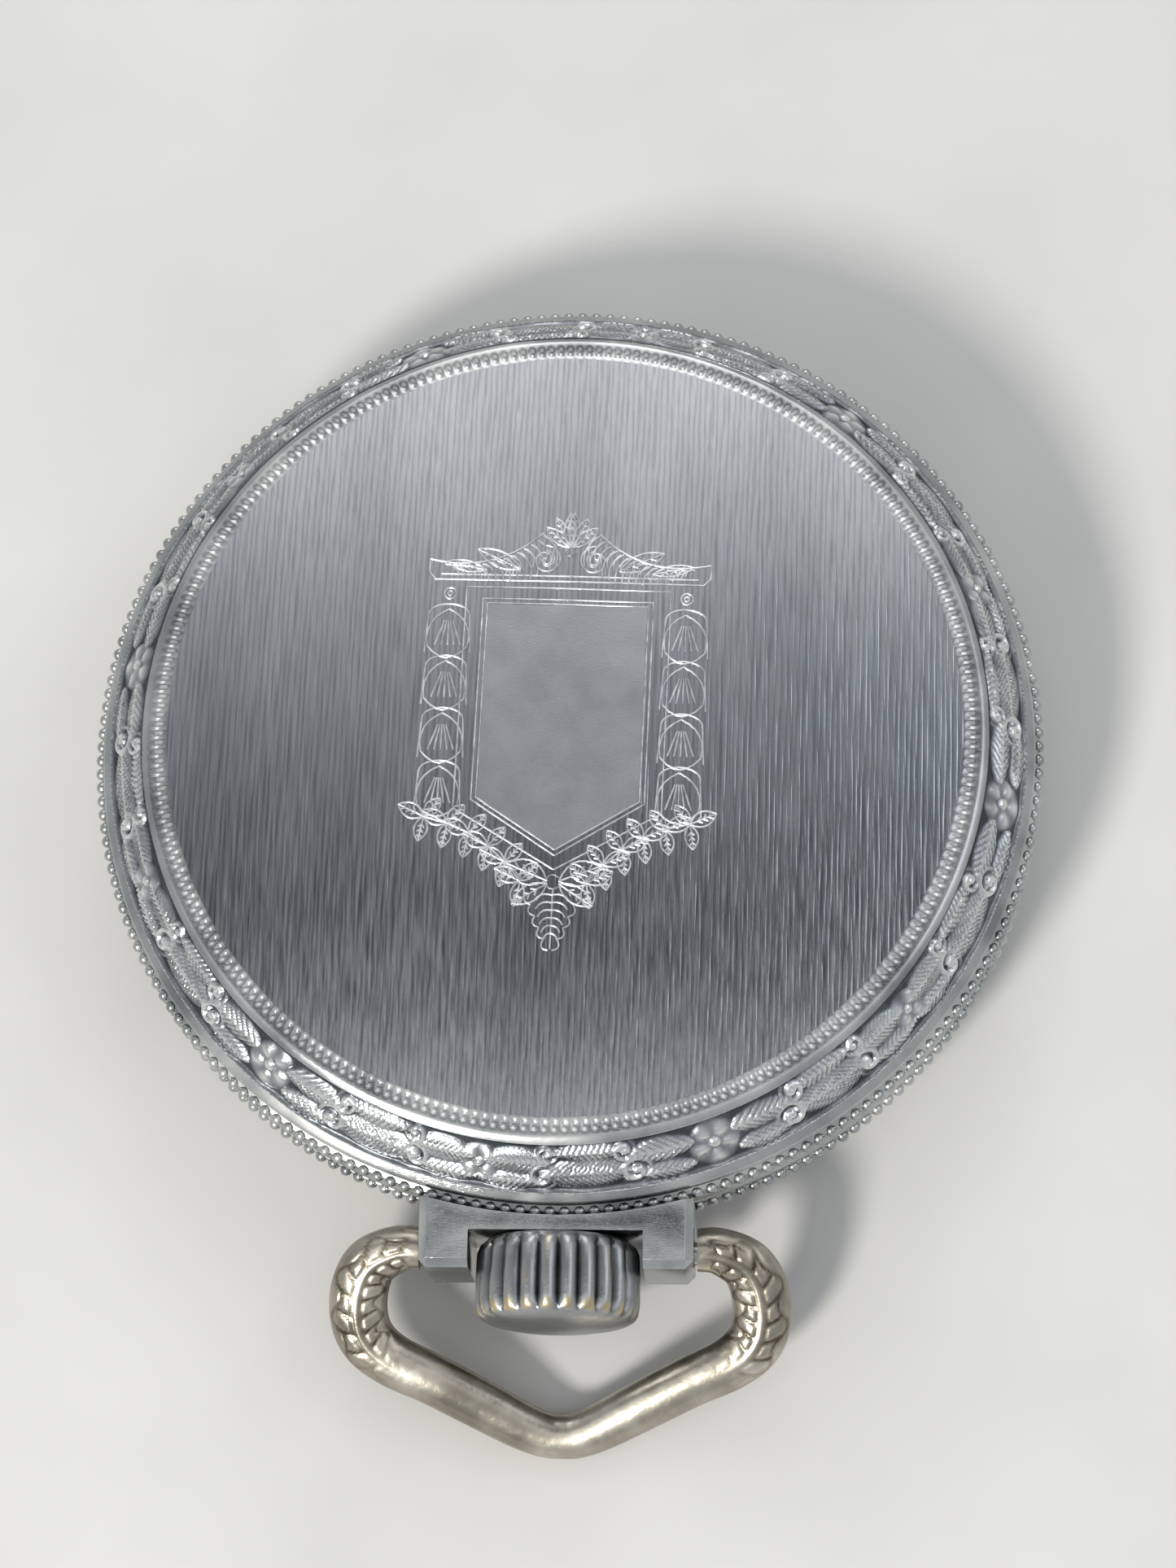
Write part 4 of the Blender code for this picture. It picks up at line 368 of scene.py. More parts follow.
def nickel_plate_striped():
    """Bridges finished with lapped stripes 1.6 mm wide; the light each stripe catches a little differently is
    painted into its colour as a sheen, lighter across its middle.
    """
    material, tree, shader, where = shader_for("nickel_plate_striped", 1.0, 0.28)
    across = add(tree, "ShaderNodeSeparateXYZ", {"Vector": where}).outputs["X"]
    stripe = add(tree, "ShaderNodeMath", {0: across}, operation="MULTIPLY")
    stripe.inputs[1].default_value = 1 / 1.6
    saw = add(tree, "ShaderNodeMath", {0: stripe.outputs[0]}, operation="FRACT").outputs[0]
    # Painted sheen: each stripe's colour is painted lighter across its middle, for the light it catches.
    colour = ramp(tree, saw, (0.0, "#9d9d99"), (0.5, "#c9c8c3"), (1.0, "#aaa9a5"))
    tree.links.new(colour, shader.inputs["Base Color"])
    grain = noise(tree, where, 6.0, 3.0, (0.1, 1.0, 1.0))
    tree.links.new(spread(tree, grain, 0.3, 0.7, 0.2, 0.36), shader.inputs["Roughness"])
    bump(tree, shader, saw, 0.012)
    return material


def steel_polished():
    """Hardened steel, flat polished: dark bright grey with faint straight grain."""
    material, tree, shader, where = shader_for("steel_polished", 1.0, 0.18)
    grain = noise(tree, where, 5.0, 3.0, (0.15, 1.0, 1.0))
    tree.links.new(ramp(tree, grain, (0.3, "#8f9294"), (0.7, "#b8bbbd")), shader.inputs["Base Color"])
    bump(tree, shader, grain, 0.003)
    return material


def steel_blued():
    """Steel tempered to blue: deep blue, turning violet in places."""
    material, tree, shader, where = shader_for("steel_blued", 1.0, 0.2)
    tint = noise(tree, where, 0.6, 2.0)
    tree.links.new(ramp(tree, tint, (0.35, "#1b2c6b"), (0.65, "#2a2a72")), shader.inputs["Base Color"])
    bump(tree, shader, noise(tree, where, 8.0, 3.0), 0.003)
    return material


def enamel_vitreous():
    """Fired white enamel: creamy, glossy, with the slight waviness of glass."""
    material, tree, shader, where = shader_for("enamel_vitreous", 0.0, 0.12)
    cream = noise(tree, where, 0.2, 3.0)
    tree.links.new(ramp(tree, cream, (0.3, "#ece9df"), (0.7, "#f5f3ec")), shader.inputs["Base Color"])
    shader.inputs["Coat Weight"].default_value = 0.4
    bump(tree, shader, noise(tree, where, 0.4, 2.0), 0.01)
    return material


def glass_mineral():
    """Ground and polished mineral glass: clear, with a faint green cast at its edge."""
    material, tree, shader, where = shader_for("glass_mineral", 0.0, 0.02)
    shader.inputs["Base Color"].default_value = linear("#f6fbf9")
    shader.inputs["Transmission Weight"].default_value = 1.0
    shader.inputs["IOR"].default_value = 1.52
    bump(tree, shader, noise(tree, where, 0.3, 2.0), 0.002)
    return material


def ruby_synthetic():
    """Flame-grown ruby: clear deep pink, polished."""
    material, tree, shader, where = shader_for("ruby_synthetic", 0.0, 0.08)
    tint = noise(tree, where, 1.5, 2.0)
    tree.links.new(ramp(tree, tint, (0.3, "#8f1236"), (0.7, "#b8214c")), shader.inputs["Base Color"])
    shader.inputs["IOR"].default_value = 1.76
    shader.inputs["Coat Weight"].default_value = 0.5
    return material


def ink_fired():
    """Black enamel ink, fired into the dial."""
    material, tree, shader, where = shader_for("ink_fired", 0.0, 0.25)
    tint = noise(tree, where, 4.0, 2.0)
    tree.links.new(ramp(tree, tint, (0.3, "#151516"), (0.7, "#222224")), shader.inputs["Base Color"])
    return material


POLISHED = nickel_plate_polished()
CHASED = nickel_plate_chased()
LINED = nickel_plate_engine_lined()
CUT = nickel_plate_cut_line()
BURNISHED = nickel_plate_burnished()
WORN = nickel_plate_worn()
CROWN = nickel_plate_crown()
INK = ink_fired()
BY_SLOT = {
    "case_nickel": POLISHED,
    "bow_nickel": WORN,
    "crown_nickel": CROWN,
    "crystal_glass": glass_mineral(),
    "dial_enamel": enamel_vitreous(),
    "blued_steel": steel_blued(),
    "plate_nickel": nickel_plate_striped(),
    "gilt_brass": gilt_brass_frosted(),
    "polished_steel": steel_polished(),
    "jewel_ruby": ruby_synthetic(),
}


def dress_cad_nodes():
    """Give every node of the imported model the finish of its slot."""
    slots = {part["node"]: part["material_slot"] for part in frame["record"]["subparts"]}
    for name, node in frame["nodes"].items():
        node.data.materials.clear()
        node.data.materials.append(BY_SLOT[slots[name]])


# ---------------------------------------------------------------- the back's ornament


def petals(u, v, radius, count, turn=0.0):
    """A flower of rounded petals with a raised eye."""
    away = hypot(u, v)
    if away > radius:
        return 0.0
    angle = atan2(v, u) + turn
    petal = 0.55 + 0.45 * cos(count * angle)
    reach = away / radius
    bowl = (1 - reach ** 4) * (0.35 + 0.65 * petal * smoothstep(0.15, 0.5, reach))
    eye = 1.0 - smoothstep(0.16, 0.26, reach)
    return max(0.9 * bowl, eye)


def leaf(u, v, length, width, veins, lean=0.6):
    """A leaf lying along u, with slanting veins and a middle rib."""
    along = u / length
    if abs(along) >= 1:
        return 0.0
    edge = width * (1 - along * along) ** 0.6
    if abs(v) > edge:
        return 0.0
    rib = exp(-((v / 0.09) ** 2))
    ridges = 0.5 + 0.5 * cos(2 * pi * veins * (along - lean * abs(v) / width))
    body = (1 - (abs(v) / edge) ** 3) * (0.35 + 0.6 * ridges)
    return max(body, 0.9 * rib)


def volute(u, v, radius, turns=1.6, hand=1.0):
    """A scroll that winds in to a small eye."""
    away = hypot(u, v)
    if away > radius:
        return 0.0
    angle = hand * atan2(v, u) / (2 * pi)
    winding = away / radius * turns - angle
    ridge = 0.5 + 0.5 * cos(2 * pi * winding)
    return max(ridge ** 0.8 * (1 - (away / radius) ** 6), 1.0 - smoothstep(0.15, 0.3, away / radius))


def border_ornament(angle, across):
    """Height from 0 to 1 of the border's relief: six flowers with scrolls and leaves between them."""
    sector = pi / 3
    start = radians(-9.6)
    place = (angle - start) / sector
    nearest = floor(place + 0.5)
    u = (place - nearest) * sector * 0.5 * (SLOPE_IN_R + SLOPE_OUT_R)
    v = across * hypot(SLOPE_OUT_R - SLOPE_IN_R, SLOPE_IN_Z - SLOPE_OUT_Z)
    side = abs(u)
    found = [
        petals(u, v, 1.42, 5, 0.3),
        leaf(side - 2.75, v - 0.45, 1.75, 0.8, 4.0),
        leaf(side - 2.6, v + 0.85, 1.5, 0.6, 4.0, -0.6),
        volute(side - 4.2, v + 0.5, 0.95),
        volute(side - 4.7, v - 0.8, 0.75, hand=-1.0),
        leaf(side - 6.7, v + 0.35, 2.3, 1.05, 7.0, 0.9),
        leaf(side - 6.5, v - 0.9, 1.9, 0.62, 6.0, 0.8),
        volute(side - 8.9, v + 0.5, 0.9),
        volute(side - 8.7, v - 0.85, 0.7, hand=-1.0),
        leaf(side - 10.2, v - 0.35, 1.7, 0.85, 6.0, -0.9),
        leaf(side - 10.6, v + 0.85, 1.6, 0.58, 5.0, -0.8),
        petals(side - 12.2, v, 1.15, 4, 0.78),
    ]
    return max(found)


def slope_normal():
    along = Vector((SLOPE_OUT_R - SLOPE_IN_R, SLOPE_OUT_Z - SLOPE_IN_Z)).normalized()
    return Vector((-along.y, along.x))


def store_height(obj, heights):
    """Keep each point's relief height on the mesh, for its patina."""
    attribute = obj.data.attributes.new("height", "FLOAT", "POINT")
    attribute.data.foreach_set("value", heights)


def make_border():
    """The sloping border, its relief struck into the metal."""
    rows = 30
    profile = []
    for i in range(rows + 1):
        t = i / rows
        radius = SLOPE_OUT_R + (SLOPE_IN_R - SLOPE_OUT_R) * t
        profile.append((radius, SLOPE_OUT_Z + (SLOPE_IN_Z - SLOPE_OUT_Z) * t))
    profile += [(SLOPE_IN_R - 0.1, SLOPE_IN_Z - 0.5), (SLOPE_OUT_R - 0.3, SLOPE_OUT_Z - 0.35)]
    bm = spun(profile, 1500)
    out = slope_normal()
    heights = {}
    for vert in bm.verts:
        radius = hypot(vert.co.x, vert.co.y)
        t = (SLOPE_OUT_R - radius) / (SLOPE_OUT_R - SLOPE_IN_R)
        on_line = SLOPE_OUT_Z + (SLOPE_IN_Z - SLOPE_OUT_Z) * t
        if abs(vert.co.z - on_line) > 0.02:
            continue
        angle = atan2(vert.co.y, vert.co.x)
        fade = smoothstep(0.0, 0.07, t) * (1 - smoothstep(0.93, 1.0, t))
        rim = (1 - smoothstep(0.0, 0.05, t)) + smoothstep(0.95, 1.0, t)
        height = max(border_ornament(angle, t - 0.5) * fade, 0.8 * rim)
        heights[vert] = height
        rise = RELIEF * (height - 0.75)
        vert.co += Vector((vert.co.x / radius * out.x * rise, vert.co.y / radius * out.x * rise, out.y * rise))
    values = [heights.get(vert, 0.1) for vert in bm.verts]
    obj = object_from("back_border", bm, "back_cover", CHASED, sharp=70)
    store_height(obj, (values + [0.1] * len(obj.data.vertices))[: len(obj.data.vertices)])
    return obj


def field_z(x, y):
    """The height of the back's low dome."""
    return FIELD_EDGE_Z + FIELD_RISE * (1 - (x * x + y * y) / FIELD_R ** 2)


def make_field():
    """The slightly domed field: a plain disc, and round it milled ticks and a polished ring."""
    inner, tick_in, tick_out = FIELD_R - 0.95, FIELD_R - 0.78, FIELD_R - 0.3
    disc = [(inner * i / 36, field_z(inner * i / 36, 0)) for i in range(37)]
    disc += [(inner, SLOPE_IN_Z - 0.5), (0, SLOPE_IN_Z - 0.6)]
    object_from("back_field", spun(disc, 240, closed=False), "back_cover", LINED, ("back_cover",))
    ring_profile = [(r, field_z(r, 0)) for r in (inner, tick_in, tick_in + 0.1, tick_out - 0.1, tick_out)]
    ring_profile += [(FIELD_R, FIELD_EDGE_Z + 0.02), (FIELD_R + 0.15, FIELD_EDGE_Z - 0.02)]
    ring_profile += [(SLOPE_IN_R - 0.02, SLOPE_IN_Z - 0.05), (SLOPE_IN_R - 0.3, SLOPE_IN_Z - 0.5)]
    ring_profile += [(inner, SLOPE_IN_Z - 0.5)]
    bm = spun(ring_profile, TICKS * 6)
    for vert in bm.verts:
        radius = hypot(vert.co.x, vert.co.y)
        if tick_in + 0.05 < radius < tick_out - 0.05 and vert.co.z > FIELD_EDGE_Z - 0.1:
            vert.co.z -= 0.09 * (0.5 + 0.5 * cos(atan2(vert.co.y, vert.co.x) * TICKS))
    object_from("back_tick_ring", bm, "back_cover", POLISHED, sharp=60)


def make_back_rim():
    """The cover's rim: a dark groove, a polished ring and the skirt that carries the beads."""
    profile = [
        (CASE_R - 0.25, RIM_Z), (CASE_R - 0.12, RIM_Z + 0.12), (CASE_R - 0.14, RIM_Z + 0.42),
        (CASE_R - 0.38, RIM_Z + 0.56), (CASE_R - 0.5, RIM_Z + 0.62), (CASE_R - 0.34, RIM_Z + 0.74),
        (CASE_R - 0.32, RIM_Z + 0.98), (CASE_R - 0.46, RIM_Z + 1.2), (CASE_R - 0.78, RIM_Z + 1.32),
        (CASE_R - 0.9, SLOPE_OUT_Z - 0.03), (CASE_R - 1.3, SLOPE_OUT_Z - 0.1), (CASE_R - 2.1, RIM_Z + 1.2),
        (CASE_R - 2.1, RIM_Z),
    ]
    object_from("back_rim", spun(profile, 360), "back_cover", POLISHED, sharp=50)
    bead_row("back_beads", CASE_R - 0.16, RIM_Z + 0.27, "back_cover", POLISHED)


# ---------------------------------------------------------------- the engraved shield


def on_back(u, v):
    """A place in the shield's own axes, laid on the dome: u across, v up the watch."""
    x = u * cos(SHIELD_TURN) - v * sin(SHIELD_TURN)
    y = u * sin(SHIELD_TURN) + v * cos(SHIELD_TURN)
    return Vector((x, y, field_z(x, y) + 0.012))


def mirrored(points):
    """The stroke and its twin on the other side of the shield's axis."""
    return [points, [(-u, v) for u, v in points]]


def scroll(u, v, radius, turns, start, hand):
    """A stroke that winds in round (u, v)."""
    steps = int(26 * turns)
    stroke = []
    for i in range(steps + 1):
        t = i / steps
        angle = start + hand * 2 * pi * turns * t
        away = radius * (1 - 0.85 * t)
        stroke.append((u + away * cos(angle), v + away * sin(angle)))
    return stroke


def bowed(start, end, sag, steps=8):
    """A stroke from start to end that sags to one side."""
    du, dv = end[0] - start[0], end[1] - start[1]
    return [
        (start[0] + du * t - dv * sag * 4 * t * (1 - t), start[1] + dv * t + du * sag * 4 * t * (1 - t))
        for t in [i / steps for i in range(steps + 1)]
    ]


def shield_outline(half, top, side_foot, tip):
    """Half of the shield, from the middle of its top to its tip."""
    side = [(half, side_foot + (top - side_foot) * (1 - i / 6)) for i in range(7)]
    foot = bowed((half, side_foot), (0, tip), 0.0, 10)
    return [(0, top)] + side + foot[1:]


def bell_flower(u, v, size):
    """A small hanging bell flower: two petals, hatched between them."""
    strokes = [bowed((u, v), (u - 0.5 * size, v - size), -0.2, 6), bowed((u, v), (u + 0.5 * size, v - size), 0.2, 6)]
    strokes.append(bowed((u - 0.5 * size, v - size), (u + 0.5 * size, v - size), -0.3, 6))
    for i in range(5):
        offset = (i - 2) * 0.16 * size
        strokes.append([(u + 0.3 * offset, v - 0.3 * size), (u + offset, v - 0.95 * size)])
    return strokes


def ring(u, v, radius, steps=14):
    return [(u + radius * cos(2 * pi * i / steps), v + radius * sin(2 * pi * i / steps)) for i in range(steps + 1)]


def leaf_strokes(u, v, bearing, length, width):
    """A pointed leaf: two curved edges, a middle rib and short veins."""
    angle = radians(bearing)
    tip = (u + length * cos(angle), v + length * sin(angle))
    sag = width / length / 2
    strokes = [bowed((u, v), tip, sag, 7), bowed((u, v), tip, -sag, 7), [(u, v), tip]]
    for share in (0.3, 0.5, 0.7):
        root = (u + share * (tip[0] - u), v + share * (tip[1] - v))
        for side in (-1, 1):
            lean = angle + side * 0.7
            reach = width * 0.34
            strokes.append([root, (root[0] + reach * cos(lean), root[1] + reach * sin(lean))])
    return strokes


def both_sides(strokes):
    return [twin for stroke in strokes for twin in mirrored(stroke)]


def frame_strokes():
    """The shield's double frame, with a cornice over it."""
    strokes = []
    for half, top, foot, tip in ((4.25, 6.45, -4.3, -7.0), (4.5, 6.7, -4.42, -7.3), (5.4, 7.35, -4.9, -8.05)):
        strokes += mirrored(shield_outline(half, top, foot, tip))
    cornice = [(0, 7.75), (7.1, 7.75), (7.45, 8.15), (7.45, 8.9), (6.6, 8.75)]
    strokes += both_sides([cornice, [(0, 8.05), (6.8, 8.05)]])
    return strokes


def column_strokes():
    """Four bell flowers a side, each in its arched niche, under a stud."""
    strokes = []
    for v in (5.0, 2.1, -0.8, -3.7):
        strokes += bell_flower(6.25, v + 1.05, 2.1)
        niche = [(6.25 + 1.08 * cos(pi * k / 10), v + 0.75 + 0.6 * sin(pi * k / 10)) for k in range(11)]
        strokes.append([(7.45, v - 1.35)] + niche + [(5.05, v - 1.35)])
    strokes += [ring(6.25, 6.95, 0.32), ring(6.25, 6.95, 0.14, 8)]
    return both_sides(strokes)


def pediment_strokes():
    """Two feathered scrolls that rise to a shell."""
    top = bowed((7.45, 8.9), (1.5, 10.5), 0.14, 16)
    strokes = [top, scroll(1.3, 8.95, 0.85, 1.7, pi / 2, 1), scroll(1.3, 8.95, 0.55, 1.0, pi / 2, 1)]
    for i, (u, v) in enumerate(top[2:]):
        length = 0.55 + 0.085 * i
        strokes += [bowed((u, v - 0.12), (u - 0.75, v - 0.12 - length), -0.18, 6)]
        strokes += [bowed((u - 0.15, v - 0.12), (u - 0.5, v - 0.1 - 0.7 * length), -0.18, 5)]
    strokes += leaf_strokes(2.6, 8.4, 25, 2.6, 0.9) + leaf_strokes(4.4, 8.3, 12, 2.2, 0.6)
    shell = []
    for bearing in (90, 66, 42):
        shell += leaf_strokes(0.1, 9.7, bearing, 2.0 - 0.006 * (90 - bearing), 0.62)
    return both_sides(strokes + shell + [ring(0.0, 9.5, 0.28, 12)])


def garland_strokes():
    """Garlands of leaves that hang to a ribbon bow and a scalloped leaf."""
    strokes = []
    line = bowed((6.9, -5.4), (1.7, -8.7), -0.1, 5)
    for u, v in line:
        strokes += leaf_strokes(u, v, 25, 1.5, 0.8) + leaf_strokes(u, v, 130, 1.3, 0.7)
        strokes += leaf_strokes(u, v, -80, 1.35, 0.7)
    strokes.append(line)
    strokes += leaf_strokes(0.3, -8.65, 22, 2.3, 1.3) + leaf_strokes(0.3, -8.8, -32, 2.1, 0.9)
    strokes += [ring(0, -8.7, 0.38, 12)]
    edge = []
    for i in range(5):
        edge += bowed((1.35 - 0.24 * i, -9.3 - 0.62 * i), (1.15 - 0.26 * i, -9.9 - 0.6 * i), 0.35, 4)
    strokes.append(edge)
    for i in range(6):
        strokes.append(bowed((0, -9.4 - 0.4 * i), (0.95 - 0.12 * i, -9.75 - 0.4 * i), 0.2, 4))
    return both_sides(strokes) + [[(0, -9.1), (0, -12.2)]]


def shield_strokes():
    """All the graver's strokes of the shield, in millimetres in its own axes."""
    return frame_strokes() + column_strokes() + pediment_strokes() + garland_strokes()


def make_shield_field():
    """The shield's own bare field, burnished smooth inside the frame lines."""
    half, top, foot, tip = 4.2, 6.4, -4.28, -6.95
    bm = bmesh.new()
    middle = Matrix.Translation((0, (top + tip) / 2, 0)) @ Matrix.Diagonal((half, (top - tip) / 2, 1, 1))
    bmesh.ops.create_grid(bm, x_segments=24, y_segments=36, size=1, matrix=middle)
    for sign in (-1, 1):
        parts = bm.verts[:] + bm.edges[:] + bm.faces[:]
        outwards = Vector((sign * (foot - tip), -half, 0))
        bmesh.ops.bisect_plane(bm, geom=parts, plane_co=(0, tip, 0), plane_no=outwards, clear_outer=True)
    grown = bmesh.ops.extrude_face_region(bm, geom=bm.faces[:])
    fresh = {v for v in grown["geom"] if isinstance(v, bmesh.types.BMVert)}
    for vert in bm.verts:
        place = on_back(vert.co.x, vert.co.y)
        vert.co = place if vert in fresh else place - Vector((0, 0, 0.08))
    return object_from("back_shield_field", bm, "back_cover", BURNISHED, sharp=60)


def make_shield():
    """The engraved shield: each stroke a fine line along the dome. Its field is left bare."""
    curve = bpy.data.curves.new("shield_strokes", "CURVE")
    curve.dimensions = "3D"
    curve.bevel_depth = 0.05 * MM
    curve.bevel_resolution = 1
    curve.use_fill_caps = True
    for stroke in shield_strokes():
        spline = curve.splines.new("POLY")
        spline.points.add(len(stroke) - 1)
        for point, (u, v) in zip(spline.points, stroke):
            point.co = (*(on_back(u, v) * MM), 1.0)
    maker = bpy.data.objects.new("shield_strokes", curve)
    bpy.context.scene.collection.objects.link(maker)
    graph = bpy.context.evaluated_depsgraph_get()
    mesh = bpy.data.meshes.new_from_object(maker.evaluated_get(graph))
    bpy.data.objects.remove(maker)
    mesh.materials.clear()
    mesh.materials.append(CUT)
    obj = bpy.data.objects.new("back_shield_engraving", mesh)
    bpy.context.scene.collection.objects.link(obj)
    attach(obj, "back_cover")


# ---------------------------------------------------------------- band, bezel and pendant


def make_band():
    """The band, turned smooth, with its spigots and the lip inside."""
    outer = BAND_TOP.x
    inner = outer - 3.45
    low, high = BEZEL_TOP.z + 0.1, RIM_Z - 0.1
    middle = (low + high) / 2
    profile = [
        (inner, BAND_LOW.z), (inner, BAND_TOP.z), (outer - 2.05, BAND_TOP.z), (outer - 2.05, high),
        (outer - 0.12, high), (outer - 0.02, high - 0.1), (outer, high - 0.3), (outer - 0.1, high - 0.5),
        (outer - 0.24, high - 0.65), (outer - 0.28, middle), (outer - 0.24, low + 0.65), (outer - 0.1, low + 0.5),
        (outer, low + 0.3), (outer - 0.02, low + 0.1), (outer - 0.12, low), (outer - 2.05, low),
        (outer - 2.05, BAND_LOW.z),
    ]
    object_from("band_shell", spun(profile, 360), "case", POLISHED, ("case_band",), sharp=40)


def make_bezel():
    """The front ring, with its own bead row and a groove for the crystal."""
    outer, top = CASE_R, BEZEL_TOP.z
    groove = span("crystal")[1].x + 0.1
    profile = [
        (groove, BEZEL_LOW.z), (groove, 1.6), (groove - 0.55, 1.6), (groove - 0.55, DIAL_LOW.z - 0.15),
        (outer - 2.1, DIAL_LOW.z - 0.15), (outer - 2.1, top), (outer - 0.25, top), (outer - 0.12, top - 0.12),
        (outer - 0.14, top - 0.44), (outer - 0.4, top - 0.58), (outer - 0.34, top - 0.7), (outer - 0.42, top - 1.0),
        (outer - 0.9, 2.6), (outer - 1.45, 1.75), (outer - 2.1, 1.2), (outer - 2.8, 0.75), (groove + 0.5, 0.45),
    ]
    object_from("bezel_ring", spun(profile, 360), "bezel_and_crystal", POLISHED, ("bezel",), sharp=45)
    bead_row("bezel_beads", outer - 0.16, top - 0.28, "bezel_and_crystal", POLISHED)


def softened(node, body, width, material, segments=3):
    """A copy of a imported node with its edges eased, as buffing leaves them."""
    mesh = frame["nodes"][node].data.copy()
    bm = bmesh.new()
    bm.from_mesh(mesh)
    bmesh.ops.remove_doubles(bm, verts=bm.verts[:], dist=1e-6)
    bmesh.ops.dissolve_limit(bm, angle_limit=radians(3), verts=bm.verts[:], edges=bm.edges[:])
    edges = [e for e in bm.edges if len(e.link_faces) == 2 and e.calc_face_angle() > radians(28)]
    bmesh.ops.bevel(
        bm, geom=edges, offset=width * MM, segments=segments, affect="EDGES", profile=0.5, material=-1,
        clamp_overlap=True,
    )
    bmesh.ops.scale(bm, verts=bm.verts[:], vec=(1 / MM, 1 / MM, 1 / MM))
    return object_from(f"{node}_eased", bm, body, material, (node,), sharp=50)


# ---------------------------------------------------------------- crown and bow


def make_crown():
    """The crown: rounded flutes, worn at their ends, and a plain low dome."""
    low, high = span("crown")
    radius = high.x
    start, end = high.y, low.y + 0.55
    flutes, sides = 24, 192
    stations = [
        (0.0, 0.72, 0), (0.02, 0.86, 0), (0.1, 0.95, 0.4), (0.2, 0.99, 1), (0.5, 1.0, 1), (0.8, 1.0, 1),
        (0.9, 0.985, 0.9), (0.96, 0.95, 0.5), (1.0, 0.9, 0.1), (1.035, 0.82, 0), (1.08, 0.6, 0), (1.12, 0.3, 0),
        (1.13, 0.05, 0),
    ]
    rings, heights = [], []
    for along, scale, depth in stations:
        y = start + (end - start) * along
        ring_points = []
        for i in range(sides):
            angle = 2 * pi * i / sides
            groove = abs(sin(flutes * angle / 2 + pi / 4)) ** 0.8
            reach = scale * radius * (1 - 0.09 * depth * (1 - groove))
            ring_points.append((reach * cos(angle), y, STEM_Z + reach * sin(angle)))
            worn = 0.25 if 0.85 < along < 1.0 else 0.0
            heights.append((0.15 + 0.65 * groove if depth > 0.3 else 0.7) + worn)
        rings.append(ring_points)
    obj = object_from("crown_fluted", swept(rings), "crown_and_stem", CROWN, ("crown",), sharp=60)
    store_height(obj, heights[: len(obj.data.vertices)])


def bow_line(count):
    """The bow's centre line in its own plane, from one end to the other, with its half width."""
    half = span("bow")[1].x - 1.52
    reach = 10.17
    corners = [
        (7.15, -0.2, 1.1), (8.25, -0.15, 1.22), (half - 0.75, 0.6, 1.4), (half - 0.08, 2.0, 1.5),
        (half, 3.7, 1.52), (half - 0.5, 5.0, 1.5), (half - 1.7, 6.05, 1.42), (half - 3.7, 7.05, 1.36),
        (0.4 * half, reach - 1.72, 1.32), (0.2 * half, reach - 0.57, 1.25), (0.08 * half, reach - 0.07, 1.2),
    ]
    line = [(-x, y, w) for x, y, w in corners] + [(0, reach, 1.18)] + corners[::-1]
    points = []
    for i in range(count + 1):
        place = i / count * (len(line) - 1)
        k = min(int(place), len(line) - 2)
        t = place - k
        p0, p1, p2, p3 = (line[min(max(k + j, 0), len(line) - 1)] for j in (-1, 0, 1, 2))
        points.append([
            0.5 * (2 * b + (c - a) * t + (2 * a - 5 * b + 4 * c - d) * t * t + (3 * b - a - 3 * c + d) * t ** 3)
            for a, b, c, d in zip(p0, p1, p2, p3)
        ])
    return points


def make_bow():
    """The stirrup bow, its shoulders engraved with leaves."""
    line = bow_line(280)
    drop = Matrix.Rotation(radians(31.3), 3, "X")
    sides = 72
    rings, heights = [], []
    run = 0.0
    for i, (x, y, width) in enumerate(line):
        x0, y0, _ = line[max(i - 1, 0)]
        x1, y1, _ = line[min(i + 1, len(line) - 1)]
        tangent = Vector((x1 - x0, y1 - y0)).normalized()
        across = Vector((-tangent.y, tangent.x))
        run += hypot(x1 - x0, y1 - y0) / 2 * (1 if x < 0 else -1)
        engraved = smoothstep(7.4, 8.2, abs(x) + max(0.0, y)) * (1 - smoothstep(4.6, 6.6, y))
        ring_points = []
        for k in range(sides):
            angle = 2 * pi * k / sides
            upper = max(0.0, sin(angle)) ** 0.5
            aside = cos(angle)
            vein = smoothstep(0.45, 1.0, cos(2 * pi * (run / 0.95 + 0.9 * abs(aside) ** 1.4)))
            rib = exp(-(((abs(aside) - 0.14) / 0.05) ** 2))
            scallop = 0.72 + 0.16 * cos(2 * pi * run / 1.9)
            edge = exp(-(((abs(aside) - scallop) / 0.06) ** 2))
            inside = 1 - smoothstep(scallop - 0.06, scallop, abs(aside))
            mark = engraved * upper * min(1.0, max(vein * inside * smoothstep(0.14, 0.2, abs(aside)), rib, edge))
            depth = 1.08 - 0.12 * mark
            point = Vector((x + across.x * width * aside, -(y + across.y * width * aside), depth * sin(angle)))
            ring_points.append(drop @ point + BOW_AT)
            heights.append(1.0 - 0.95 * mark)
        rings.append(ring_points)
    obj = object_from("bow_stirrup", swept(rings), "bow", WORN, ("bow",), sharp=60)
    store_height(obj, heights[: len(obj.data.vertices)])
    for sign, name in ((-1, "left"), (1, "right")):
        pin = bmesh.new()
        turned = Matrix.Translation(BOW_AT + Vector((sign * 6.7, 0, 0))) @ Matrix.Rotation(pi / 2, 4, "Y")
        bmesh.ops.create_cone(
            pin, cap_ends=True, segments=32, radius1=0.6, radius2=0.6, depth=2.0, matrix=turned
        )
        object_from(f"bow_pin_{name}", pin, "bow", POLISHED)


# ---------------------------------------------------------------- dial


def clock_place(clockwise, radius, centre=(0.0, 0.0)):
    """A place on the dial at an angle in degrees clockwise from twelve."""
    bearing = radians(clockwise - 90)
    return Vector((centre[0] + radius * cos(bearing), centre[1] + radius * sin(bearing)))


